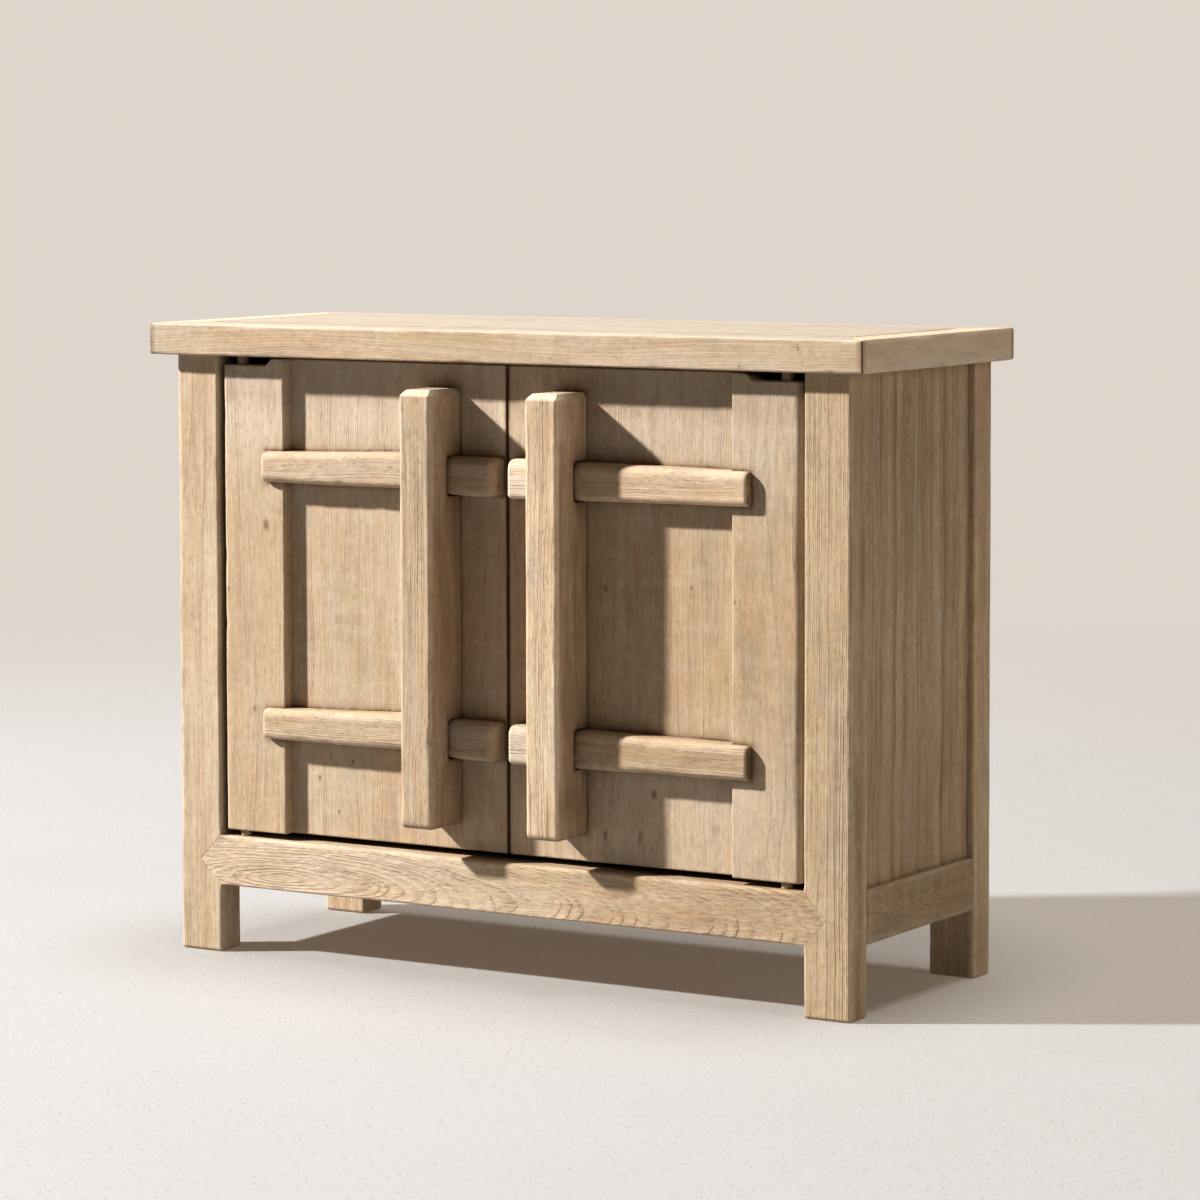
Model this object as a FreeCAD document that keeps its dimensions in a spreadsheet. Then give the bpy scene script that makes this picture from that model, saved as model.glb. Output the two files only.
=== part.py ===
import FreeCAD, Part
import Sketcher
import math
import os
import re

# Accent cabinet in solid wood: a post and rail case under a mitred frame top, with two inset
# doors that turn on round pins. Lengths are millimetres.
# Every piece is drawn in the case's own frame: across from the centre plane, where right is
# plus, back from the front faces of the legs, and up from the floor.

driving_sizes = {
    # Case
    "body_width": 968,
    "body_depth": 366,
    "full_height": 800,
    "leg_width": 62,
    "leg_depth": 44,
    "leg_tenon_width": 30,
    "leg_tenon_depth": 20,
    "leg_tenon_height": 22,
    "rail_floor_gap": 86,
    "rail_height": 64,
    "rail_thickness": 30,
    "rail_tenon_thickness": 10,
    "rail_tenon_shoulder": 10,
    "long_tenon_length": 25,
    "side_tenon_length": 18,
    "front_tenon_setback": 16,
    "mitre_lip_depth": 12,
    "mitre_tip_share": 0.49,
    "joint_clearance": 0.3,
    # Top
    "top_thickness": 40,
    "overhang_side": 26,
    "overhang_front": 22,
    "overhang_back": 7,
    "long_member_width": 78,
    "end_member_width": 57,
    "top_board_thickness": 18,
    "rabbet_width": 10,
    "cross_batten_width": 36,
    "cross_batten_housing": 12,
    "cross_batten_place_share": 0.2,
    # Thin boards of the sides and the back
    "board_thickness": 12,
    "board_recess": 9,
    "groove_depth": 8,
    "board_seam": 0.4,
    # Floor, shelf and door stop
    "floor_board_thickness": 15,
    "bearer_width": 18,
    "bearer_height": 20,
    "centre_bearer_width": 30,
    "centre_bearer_height": 34,
    "shelf_rise": 302,
    "shelf_thickness": 18,
    "shelf_setback": 60,
    "stop_length": 180,
    "stop_depth": 16,
    "stop_height": 20,
    "stop_gap": 0.5,
    # Doors
    "door_side_gap": 3,
    "door_bottom_gap": 7.5,
    "door_top_gap": 3,
    "meeting_gap": 3,
    "stile_width": 96.5,
    "stile_thickness": 30,
    "stile_setback": 4,
    "stile_round": 10,
    "stile_notch_depth": 8.5,
    "stile_notch_length": 78,
    "door_board_thickness": 14,
    "door_tongue_thickness": 6,
    # Pivot pins
    "pin_radius": 7.5,
    "pin_play": 0.4,
    "pin_edge_distance": 27.5,
    "pin_setback": 12,
    "pin_grip": 36,
    "pin_reach": 22,
    "pin_floor_gap": 0.3,
    "pin_head_gap": 1.5,
    # Battens, handles and screws
    "batten_projection": 29.5,
    "batten_root_height": 49,
    "batten_tip_height": 42,
    "batten_lap": 27.5,
    "batten_round": 7,
    "upper_batten_drop": 136.5,
    "lower_batten_rise": 139,
    "left_batten_inset": 4,
    "right_batten_inset": 16,
    "handle_width": 45,
    "handle_projection": 70,
    "handle_top_margin": 29.5,
    "handle_bottom_margin": 32,
    "handle_inset": 68,
    "handle_bevel": 5,
    "screw_radius": 2.2,
    "screw_length": 26,
    "screw_head_radius": 4.5,
    "screw_head_height": 2.6,
}
side_board_count = 3
back_board_count = 4
top_board_count = 3
floor_board_count = 3
# Screws of one batten: the door board that each goes through, and its share of that board's width.
screw_place_shares = [(0, 0.25), (0, 0.8), (1, 0.5)]

sides = {"left": -1, "right": 1}

# Places that several pieces share, as formulas on the sizes.
case_height = "(full_height - top_thickness)"
leg_inner = "(body_width / 2 - leg_width)"
back_legs = "(body_depth - leg_depth)"
rows = {"front": "0", "back": back_legs}
rail_top = "(rail_floor_gap + rail_height)"
rail_inner = "(body_width / 2 - rail_thickness)"
tenon_low = "(rail_floor_gap + rail_tenon_shoulder)"
tenon_height = "(rail_height - 2 * rail_tenon_shoulder)"
half_top = "(body_width / 2 + overhang_side)"
top_back = "(body_depth + overhang_back)"
top_depth = "(body_depth + overhang_front + overhang_back)"
top_opening_front = "(long_member_width - overhang_front)"
rabbet_floor = "(full_height - top_board_thickness)"
board_inner = "(body_width / 2 - board_recess - board_thickness)"
back_board_front = "(body_depth - board_recess - board_thickness)"
board_low = "(rail_floor_gap + rail_height - groove_depth)"
groove_floor = "(rail_floor_gap + rail_height - groove_depth - joint_clearance)"
groove_width = "(board_thickness + 2 * joint_clearance)"
groove_reach = "(groove_depth + joint_clearance)"
leg_tenon_across = "(body_width / 2 - leg_width / 2 - leg_tenon_width / 2)"
leg_tenon_back = "(leg_depth / 2 - leg_tenon_depth / 2)"
side_tenon_across = "(body_width / 2 - rail_thickness / 2 - rail_tenon_thickness / 2)"
back_tenon_back = "(body_depth - rail_thickness / 2 - rail_tenon_thickness / 2)"
floor_under = "(rail_floor_gap + rail_height - floor_board_thickness)"
shelf_under = "(rail_floor_gap + rail_height + shelf_rise - shelf_thickness)"
stile_inner = "(body_width / 2 - leg_width - door_side_gap - stile_width)"
stile_outer = "(body_width / 2 - leg_width - door_side_gap)"
stile_back = "(stile_setback + stile_thickness)"
door_low = "(rail_floor_gap + rail_height + door_bottom_gap)"
door_high = "(full_height - top_thickness - door_top_gap)"
door_height = "(%s - %s)" % (door_high, door_low)
door_board_front = "(stile_setback + stile_thickness - door_board_thickness)"
door_board_width = "((%s - meeting_gap / 2) / 2)" % stile_inner
tongue_back = "(%s + door_board_thickness / 2 - door_tongue_thickness / 2)" % door_board_front
# Middle heights of the battens
batten_levels = {"upper": "(%s - upper_batten_drop)" % door_high,
                 "lower": "(%s + lower_batten_rise)" % door_low}
notch_floor = "(full_height - top_thickness - door_top_gap - stile_notch_depth)"
pin_across = "(body_width / 2 - leg_width - door_side_gap - pin_edge_distance)"
pin_back = "(stile_setback + pin_setback)"
batten_front = "(stile_setback + stile_thickness - door_board_thickness - batten_projection)"
handle_front = "(stile_setback + stile_thickness - door_board_thickness - handle_projection)"
# The case stands so that the middle of its whole depth, handles included, is at zero.
leg_face = "(-(%s + %s) / 2)" % (handle_front, top_back)

os.makedirs("parts", exist_ok=True)
doc = FreeCAD.newDocument("cabinet")
sheet = doc.addObject("Spreadsheet::Sheet", "sizes")
for line, (alias, value) in enumerate(driving_sizes.items(), start=1):
    sheet.set("A%d" % line, alias)
    sheet.set("B%d" % line, str(value))
    sheet.setAlias("B%d" % line, alias)
doc.recompute()

pieces = []
cuts = []


def formula(text):
    return re.sub(r"[a-z][a-z_]+", lambda word: "sizes." + word.group(), text)


def bind(owner, place, text):
    owner.setExpression(place, formula(text))


def new_piece(label):
    piece = doc.addObject("PartDesign::Body", label)
    piece.Label = label
    bind(piece, "Placement.Base.y", leg_face)
    pieces.append(piece)
    return piece


def new_sketch(piece, plane, low):
    # On one of the piece's own origin planes, with the sketch's origin moved to the low corner.
    sketch = piece.newObject("Sketcher::SketchObject", piece.Name + "_sketch")
    support = [item for item in piece.Origin.OriginFeatures if item.Role == plane + "_Plane"]
    sketch.AttachmentSupport = [(support[0], "")]
    sketch.MapMode = "FlatFace"
    across, back, up = low
    offsets = {"XY": (across, back, up), "XZ": (across, up, "-(%s)" % back), "YZ": (back, up, across)}
    for axis, text in zip("xyz", offsets[plane]):
        bind(sketch, "AttachmentOffset.Base." + axis, text)
    return sketch


def bind_dimension(sketch, dimension, name, text):
    sketch.renameConstraint(sketch.addConstraint(dimension), name)
    bind(sketch, "Constraints." + name, text)


def draw_outline(sketch, points):
    # Closed and straight sided, with every corner dimensioned from the sketch's origin.
    count = len(points)
    turns = [2 * math.pi * number / count for number in range(count)]
    ring = [FreeCAD.Vector(math.cos(turn), math.sin(turn), 0) for turn in turns]
    for number in range(count):
        sketch.addGeometry(Part.LineSegment(ring[number], ring[(number + 1) % count]))
    for number in range(count):
        sketch.addConstraint(Sketcher.Constraint("Coincident", number, 2, (number + 1) % count, 1))
    for number, (across, up) in enumerate(points):
        corner = ring[number]
        dimension = Sketcher.Constraint("DistanceX", -1, 1, number, 1, corner.x)
        bind_dimension(sketch, dimension, "across%d" % number, across)
        dimension = Sketcher.Constraint("DistanceY", -1, 1, number, 1, corner.y)
        bind_dimension(sketch, dimension, "up%d" % number, up)


def draw_circle(sketch, radius):
    sketch.addGeometry(Part.Circle(FreeCAD.Vector(0, 0, 0), FreeCAD.Vector(0, 0, 1), 1))
    sketch.addConstraint(Sketcher.Constraint("Coincident", 0, 3, -1, 1))
    bind_dimension(sketch, Sketcher.Constraint("Radius", 0, 1), "radius", radius)


def extrude(piece, kind, plane, sketch, length):
    # A Pad or a Pocket, which runs towards plus from the sketch.
    feature = piece.newObject("PartDesign::" + kind, piece.Name + "_" + kind.lower())
    feature.Profile = sketch
    feature.Reversed = (plane == "XZ") == (kind == "Pad")
    bind(feature, "Length", length)
    if kind == "Pocket":
        cuts.append(feature)


def extrude_outline(piece, kind, plane, low, points, length):
    sketch = new_sketch(piece, plane, low)
    draw_outline(sketch, points)
    extrude(piece, kind, plane, sketch, length)


def extrude_circle(piece, kind, plane, low, radius, length):
    sketch = new_sketch(piece, plane, low)
    draw_circle(sketch, radius)
    extrude(piece, kind, plane, sketch, length)


def rectangle(width, depth):
    return [("0", "0"), (width, "0"), (width, depth), ("0", depth)]


def add_block(piece, low, size):
    width, depth, height = size
    extrude_outline(piece, "Pad", "XY", low, rectangle(width, depth), height)


def cut_block(piece, low, size):
    width, depth, height = size
    extrude_outline(piece, "Pocket", "XY", low, rectangle(width, depth), height)


def soften(piece, kind, size, is_chosen):
    # Rounds or bevels the edges whose box, set against the whole piece's box, is chosen.
    doc.recompute()
    base = piece.Tip
    whole = base.Shape.BoundBox
    chosen = ["Edge%d" % number for number, edge in enumerate(base.Shape.Edges, start=1)
              if is_chosen(edge.BoundBox, whole)]
    feature = piece.newObject("PartDesign::" + kind, piece.Name + "_" + kind.lower())
    feature.Base = (base, chosen)
    bind(feature, {"Fillet": "Radius", "Chamfer": "Size"}[kind], size)


def is_same(first, second):
    return math.isclose(first, second, abs_tol=1e-4)


def is_on_front_face(edge, whole):
    return is_same(edge.YMin, whole.YMin) and is_same(edge.YMax, whole.YMin)


def on_side(side, inner, width):
    # The low end of a span that starts at inner and runs outwards on that side.
    return inner if side > 0 else "-(%s) - (%s)" % (inner, width)


def mirrored(side, text):
    return text if side > 0 else "-(%s)" % text


def eased(text):
    return "(%s - joint_clearance)" % text


def wider(text):
    return "(%s + 2 * joint_clearance)" % text


def shared_span(start, span, number, count):
    # One of several equal boards side by side, with a seam between neighbours.
    low = "%s + %s * %d / %d + board_seam / 2" % (start, span, number, count)
    return low, "%s / %d - board_seam" % (span, count)


def mitre_tip(side):
    # The triangle by which the front rail's face is let into the leg's face.
    tip = leg_inner + " + mitre_tip_share * leg_width"
    return [(mirrored(side, leg_inner), "rail_floor_gap"),
            (mirrored(side, tip), "rail_floor_gap + rail_height / 2"),
            (mirrored(side, leg_inner), rail_top)]


def make_leg(row_name, side_name):
    leg = new_piece("leg_%s_%s" % (row_name, side_name))
    side = sides[side_name]
    row = rows[row_name]
    is_front = row_name == "front"
    add_block(leg, (on_side(side, leg_inner, "leg_width"), row, "0"),
              ("leg_width", "leg_depth", case_height))
    add_block(leg, (on_side(side, leg_tenon_across, "leg_tenon_width"), row + " + " + leg_tenon_back,
                    case_height),
              ("leg_tenon_width", "leg_tenon_depth", "leg_tenon_height"))
    # Mortise of the front or back rail
    reach = "(long_tenon_length + joint_clearance)"
    back = eased("front_tenon_setback") if is_front else eased(back_tenon_back)
    cut_block(leg, (on_side(side, leg_inner, reach), back, eased(tenon_low)),
              (reach, wider("rail_tenon_thickness"), wider(tenon_height)))
    # Mortise of the side rail, and the groove of the side boards above it
    reach = "(side_tenon_length + joint_clearance)"
    back = "leg_depth - " + reach if is_front else back_legs
    width = wider("rail_tenon_thickness")
    cut_block(leg, (on_side(side, eased(side_tenon_across), width), back, eased(tenon_low)),
              (width, reach, wider(tenon_height)))
    back = "leg_depth - " + groove_reach if is_front else back_legs
    height = case_height + " - " + groove_floor
    cut_block(leg, (on_side(side, eased(board_inner), groove_width), back, groove_floor),
              (groove_width, groove_reach, height))
    if is_front:
        extrude_outline(leg, "Pocket", "XZ", ("0", "0", "0"), mitre_tip(side), "mitre_lip_depth")
    else:
        cut_block(leg, (on_side(side, leg_inner, groove_reach), eased(back_board_front), groove_floor),
                  (groove_reach, groove_width, height))


def make_front_rail():
    rail = new_piece("front_rail")
    add_block(rail, ("-" + leg_inner, "0", "rail_floor_gap"),
              ("2 * " + leg_inner, "leg_depth", "rail_height"))
    for side in sides.values():
        extrude_outline(rail, "Pad", "XZ", ("0", "0", "0"), mitre_tip(side), "mitre_lip_depth")
        add_block(rail, (on_side(side, leg_inner, "long_tenon_length"), "front_tenon_setback", tenon_low),
                  ("long_tenon_length", "rail_tenon_thickness", tenon_height))
        bore_floor = rail_top + " - pin_reach - pin_floor_gap"
        extrude_circle(rail, "Pocket", "XY", (mirrored(side, pin_across), pin_back, bore_floor),
                       "pin_radius + pin_play", "pin_reach + pin_floor_gap")


def make_back_rail():
    rail = new_piece("back_rail")
    add_block(rail, ("-" + leg_inner, "body_depth - rail_thickness", "rail_floor_gap"),
              ("2 * " + leg_inner, "rail_thickness", "rail_height"))
    for side in sides.values():
        add_block(rail, (on_side(side, leg_inner, "long_tenon_length"), back_tenon_back, tenon_low),
                  ("long_tenon_length", "rail_tenon_thickness", tenon_height))
    cut_block(rail, ("-" + leg_inner, eased(back_board_front), groove_floor),
              ("2 * " + leg_inner, groove_width, groove_reach))


def make_side_rail(side_name):
    rail = new_piece("side_rail_" + side_name)
    side = sides[side_name]
    length = "body_depth - 2 * leg_depth"
    add_block(rail, (on_side(side, rail_inner, "rail_thickness"), "leg_depth", "rail_floor_gap"),
              ("rail_thickness", length, "rail_height"))
    for back in ("leg_depth - side_tenon_length", back_legs):
        add_block(rail, (on_side(side, side_tenon_across, "rail_tenon_thickness"), back, tenon_low),
                  ("rail_tenon_thickness", "side_tenon_length", tenon_height))
    cut_block(rail, (on_side(side, eased(board_inner), groove_width), "leg_depth", groove_floor),
              (groove_width, length, groove_reach))


def make_side_board(side_name, number):
    board = new_piece("side_board_%s_%d" % (side_name, number + 1))
    low, width = shared_span("leg_depth - groove_depth", "(body_depth - 2 * leg_depth + 2 * groove_depth)",
                             number, side_board_count)
    add_block(board, (on_side(sides[side_name], board_inner, "board_thickness"), low, board_low),
              ("board_thickness", width, case_height + " - " + board_low))


def make_back_board(number):
    board = new_piece("back_board_%d" % (number + 1))
    half = "(%s + groove_depth)" % leg_inner
    low, width = shared_span("-" + half, "2 * " + half, number, back_board_count)
    add_block(board, (low, back_board_front, board_low),
              (width, "board_thickness", case_height + " - " + board_low))


def mitre_line(side, row_name):
    # Outer and inner end of one mitre of the top's frame.
    outer = "-overhang_front" if row_name == "front" else top_back
    inner = top_opening_front if row_name == "front" else top_back + " - long_member_width"
    return [(mirrored(side, half_top), outer), (mirrored(side, half_top + " - end_member_width"), inner)]


def make_top_member(label, outline):
    member = new_piece(label)
    extrude_outline(member, "Pad", "XY", ("0", "0", case_height), outline, "top_thickness")
    half_rabbet = "(%s - end_member_width + rabbet_width)" % half_top
    depth = top_depth + " - 2 * long_member_width + 2 * rabbet_width"
    cut_block(member, ("-" + half_rabbet, top_opening_front + " - rabbet_width", rabbet_floor),
              ("2 * " + half_rabbet, depth, "top_board_thickness"))
    return member


def make_end_member(side_name):
    side = sides[side_name]
    outline = mitre_line(side, "front") + mitre_line(side, "back")[::-1]
    make_top_member("top_%s_member" % side_name, outline)


def cross_batten_low(side):
    return "(%d * cross_batten_place_share * body_width - cross_batten_width / 2)" % side


def make_long_member(row_name):
    outline = mitre_line(-1, row_name) + mitre_line(1, row_name)[::-1]
    member = make_top_member("top_%s_member" % row_name, outline)
    is_front = row_name == "front"
    housing = "(cross_batten_housing + joint_clearance)"
    housing_back = top_opening_front + " - " + housing if is_front else top_back + " - long_member_width"
    for side in sides.values():
        width = wider("leg_tenon_width")
        back = rows[row_name] + " + " + eased(leg_tenon_back)
        cut_block(member, (on_side(side, eased(leg_tenon_across), width), back, case_height),
                  (width, wider("leg_tenon_depth"), "leg_tenon_height + joint_clearance"))
        cut_block(member, (eased(cross_batten_low(side)), housing_back, case_height),
                  (wider("cross_batten_width"), housing, "top_thickness - top_board_thickness"))
        if is_front:
            extrude_circle(member, "Pocket", "XY", (mirrored(side, pin_across), pin_back, case_height),
                           "pin_radius + pin_play", "pin_reach + pin_head_gap")


def make_cross_batten(side_name):
    batten = new_piece("top_cross_batten_" + side_name)
    low = cross_batten_low(sides[side_name])
    length = top_depth + " - 2 * long_member_width + 2 * cross_batten_housing"
    add_block(batten, (low, top_opening_front + " - cross_batten_housing", case_height),
              ("cross_batten_width", length, "top_thickness - top_board_thickness"))


def make_top_board(number):
    board = new_piece("top_board_%d" % (number + 1))
    half = "(%s - end_member_width + rabbet_width - joint_clearance)" % half_top
    span = "(%s - 2 * long_member_width + 2 * rabbet_width - 2 * joint_clearance)" % top_depth
    low, width = shared_span(top_opening_front + " - rabbet_width + joint_clearance", span,
                             number, top_board_count)
    add_block(board, ("-" + half, low, rabbet_floor), ("2 * " + half, width, "top_board_thickness"))


def make_floor_board(number):
    board = new_piece("floor_board_%d" % (number + 1))
    span = "(body_depth - rail_thickness - leg_depth)"
    low, width = shared_span("leg_depth", span, number, floor_board_count)
    add_block(board, ("-" + rail_inner, low, floor_under),
              ("2 * " + rail_inner, width, "floor_board_thickness"))
    if number == floor_board_count - 1:
        notch_for_back_legs(board, rail_inner, "floor_board_thickness", floor_under)


def notch_for_back_legs(board, half_length, thickness, under):
    for side in sides.values():
        width = "(%s - %s + joint_clearance)" % (half_length, leg_inner)
        cut_block(board, (on_side(side, eased(leg_inner), width), eased(back_legs), under),
                  (width, "leg_depth", thickness))


def make_floor_bearer(side_name):
    bearer = new_piece("floor_bearer_" + side_name)
    across = on_side(sides[side_name], rail_inner + " - bearer_width", "bearer_width")
    add_block(bearer, (across, "leg_depth", floor_under + " - bearer_height"),
              ("bearer_width", "body_depth - 2 * leg_depth", "bearer_height"))


def make_centre_bearer():
    bearer = new_piece("floor_bearer_centre")
    length = "body_depth - rail_thickness - leg_depth"
    add_block(bearer, ("-centre_bearer_width / 2", "leg_depth", floor_under + " - centre_bearer_height"),
              ("centre_bearer_width", length, "centre_bearer_height"))


def make_shelf_board(row_name):
    board = new_piece("shelf_board_" + row_name)
    half = "(%s - joint_clearance)" % board_inner
    span = "(%s - joint_clearance - shelf_setback)" % back_board_front
    low, width = shared_span("shelf_setback", span, list(rows).index(row_name), len(rows))
    add_block(board, ("-" + half, low, shelf_under), ("2 * " + half, width, "shelf_thickness"))
    if row_name == "back":
        notch_for_back_legs(board, half, "shelf_thickness", shelf_under)


def make_shelf_bearer(side_name):
    bearer = new_piece("shelf_bearer_" + side_name)
    across = on_side(sides[side_name], board_inner + " - bearer_width", "bearer_width")
    add_block(bearer, (across, "leg_depth", shelf_under + " - bearer_height"),
              ("bearer_width", "body_depth - 2 * leg_depth", "bearer_height"))


def make_back_shelf_bearer():
    bearer = new_piece("shelf_bearer_back")
    low = shelf_under + " - bearer_height"
    add_block(bearer, ("-" + leg_inner, back_board_front + " - bearer_width", low),
              ("2 * " + leg_inner, "bearer_width", "bearer_height"))


def make_door_stop():
    stop = new_piece("door_stop")
    add_block(stop, ("-stop_length / 2", stile_back + " + stop_gap", case_height + " - stop_height"),
              ("stop_length", "stop_depth", "stop_height"))


def make_stile(side_name):
    stile = new_piece(side_name + "_door_stile")
    side = sides[side_name]
    add_block(stile, (on_side(side, stile_inner, "stile_width"), "stile_setback", door_low),
              ("stile_width", "stile_thickness", door_height))
    # Shallow notch over the outer part of the top end, with a slanted inner end
    inner = stile_outer + " - stile_notch_length"
    notch = [(inner, door_high), (inner + " + stile_notch_depth", notch_floor),
             (stile_outer, notch_floor), (stile_outer, door_high)]
    notch = [(mirrored(side, across), up) for across, up in notch]
    extrude_outline(stile, "Pocket", "XZ", ("0", "stile_setback", "0"), notch, "stile_thickness")
    # Groove of the door boards' tongue
    cut_block(stile, (on_side(side, stile_inner, groove_reach), eased(tongue_back), door_low),
              (groove_reach, wider("door_tongue_thickness"), door_height))
    for low in (door_low, notch_floor + " - pin_grip"):
        extrude_circle(stile, "Pocket", "XY", (mirrored(side, pin_across), pin_back, low),
                       "pin_radius", "pin_grip")

    def is_outer_front(edge, whole):
        outer = whole.XMax if side > 0 else whole.XMin
        return (is_on_front_face(edge, whole) and is_same(edge.XMin, outer) and is_same(edge.XMax, outer))

    soften(stile, "Fillet", "stile_round", is_outer_front)


def screw_across(board_number, share):
    return "(meeting_gap / 2 + %s * %s)" % (door_board_width, board_number + share)


def make_door_board(side_name, number):
    board = new_piece("%s_door_board_%s" % (side_name, ("inner", "outer")[number]))
    side = sides[side_name]
    low, width = shared_span("meeting_gap / 2", "(2 * %s)" % door_board_width, number, 2)
    add_block(board, (on_side(side, low, width), door_board_front, door_low),
              (width, "door_board_thickness", door_height))
    if number == 1:
        tongue_low = stile_inner + " - board_seam / 2"
        tongue_reach = "(groove_depth + board_seam / 2)"
        add_block(board, (on_side(side, tongue_low, tongue_reach), tongue_back, door_low),
                  (tongue_reach, "door_tongue_thickness", door_height))
    for height in batten_levels.values():
        for board_number, share in screw_place_shares:
            if board_number == number:
                across = mirrored(side, screw_across(board_number, share))
                extrude_circle(board, "Pocket", "XZ", (across, door_board_front, height), "screw_radius",
                               "door_board_thickness")


def make_door_batten(side_name, level):
    batten = new_piece("%s_door_batten_%s" % (side_name, level))
    side = sides[side_name]
    inset = side_name + "_batten_inset"
    height = batten_levels[level]
    outer = stile_inner + " + batten_lap"
    outline = [(inset, height + " - batten_root_height / 2"), (outer, height + " - batten_tip_height / 2"),
               (outer, height + " + batten_tip_height / 2"), (inset, height + " + batten_root_height / 2")]
    outline = [(mirrored(side, across), up) for across, up in outline]
    extrude_outline(batten, "Pad", "XZ", ("0", batten_front, "0"), outline, "batten_projection")
    # The outer end is thinner by what the stile stands proud of the door boards.
    width = "(batten_lap + joint_clearance)"
    cut_block(batten, (on_side(side, eased(stile_inner), width), "stile_setback",
                       height + " - batten_root_height / 2"),
              (width, door_board_front + " - stile_setback", "batten_root_height"))
    soften(batten, "Fillet", "batten_round", is_on_front_face)
    for board_number, share in screw_place_shares:
        across = mirrored(side, screw_across(board_number, share))
        extrude_circle(batten, "Pocket", "XZ", (across, stile_back + " - screw_length", height),
                       "screw_radius", "screw_length - door_board_thickness")


def make_handle(side_name):
    handle = new_piece(side_name + "_door_handle")
    side = sides[side_name]
    low = on_side(side, "handle_inset", "handle_width")
    length = door_height + " - handle_bottom_margin - handle_top_margin"
    add_block(handle, (low, handle_front, door_low + " + handle_bottom_margin"),
              ("handle_width", "handle_projection", length))
    for height in batten_levels.values():
        cut_block(handle, (low, batten_front, eased(height + " - batten_root_height / 2")),
                  ("handle_width", "batten_projection", wider("batten_root_height")))
    soften(handle, "Chamfer", "handle_bevel", is_on_front_face)


def make_pins(side_name):
    across = mirrored(sides[side_name], pin_across)
    top_pin = new_piece(side_name + "_door_pin_top")
    extrude_circle(top_pin, "Pad", "XY", (across, pin_back, notch_floor + " - pin_grip"), "pin_radius",
                   "pin_grip + stile_notch_depth + door_top_gap + pin_reach")
    bottom_pin = new_piece(side_name + "_door_pin_bottom")
    extrude_circle(bottom_pin, "Pad", "XY", (across, pin_back, rail_top + " - pin_reach"), "pin_radius",
                   "pin_reach + door_bottom_gap + pin_grip")


def make_rod(radius, length, across, back, up):
    # A plain rod that runs forwards from its place.
    rod = doc.addObject("Part::Cylinder", "rod")
    bind(rod, "Radius", radius)
    bind(rod, "Height", length)
    rod.Placement = FreeCAD.Placement(FreeCAD.Vector(), FreeCAD.Rotation(FreeCAD.Vector(1, 0, 0), 90))
    for axis, text in zip("xyz", (across, back, up)):
        bind(rod, "Placement.Base." + axis, text)
    return rod


def make_screws(side_name):
    screws = []
    for height in batten_levels.values():
        for board_number, share in screw_place_shares:
            across = mirrored(sides[side_name], screw_across(board_number, share))
            screw = doc.addObject("Part::Fuse", "screw")
            screw.Base = make_rod("screw_radius", "screw_length", across, stile_back, height)
            screw.Tool = make_rod("screw_head_radius", "screw_head_height", across,
                                  stile_back + " + screw_head_height", height)
            screws.append(screw)
    group = doc.addObject("Part::Compound", side_name + "_door_screws")
    group.Label = side_name + "_door_screws"
    group.Links = screws
    bind(group, "Placement.Base.y", leg_face)
    pieces.append(group)


def make_case():
    for row_name in rows:
        for side_name in sides:
            make_leg(row_name, side_name)
    make_front_rail()
    make_back_rail()
    for side_name in sides:
        make_side_rail(side_name)
        for number in range(side_board_count):
            make_side_board(side_name, number)
    for number in range(back_board_count):
        make_back_board(number)


def make_top():
    for row_name in rows:
        make_long_member(row_name)
    for side_name in sides:
        make_end_member(side_name)
        make_cross_batten(side_name)
    for number in range(top_board_count):
        make_top_board(number)


def make_inside():
    for number in range(floor_board_count):
        make_floor_board(number)
    make_centre_bearer()
    for side_name in sides:
        make_floor_bearer(side_name)
        make_shelf_bearer(side_name)
    make_back_shelf_bearer()
    for row_name in rows:
        make_shelf_board(row_name)
    make_door_stop()


def make_door(side_name):
    make_stile(side_name)
    for number in range(2):
        make_door_board(side_name, number)
    for level in batten_levels:
        make_door_batten(side_name, level)
    make_handle(side_name)
    make_pins(side_name)
    make_screws(side_name)


def check_model():
    failed = [item.Label for item in doc.Objects if {"Invalid", "Error"} & set(item.State)]
    broken = [piece.Label for piece in pieces if piece.Shape.isNull() or not piece.Shape.isValid()]
    idle = [cut.Label for cut in cuts if cut.Shape.Volume >= cut.BaseFeature.Shape.Volume]
    if failed or broken or idle:
        raise SystemExit("failed %s, broken %s, cuts nothing %s" % (failed, broken, idle))


make_case()
make_top()
make_inside()
for door_side in sides:
    make_door(door_side)
doc.recompute()
check_model()
for piece in pieces:
    piece.Shape.exportStep("parts/%s.step" % piece.Label)
print("%d nodes written" % len(pieces))
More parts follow.
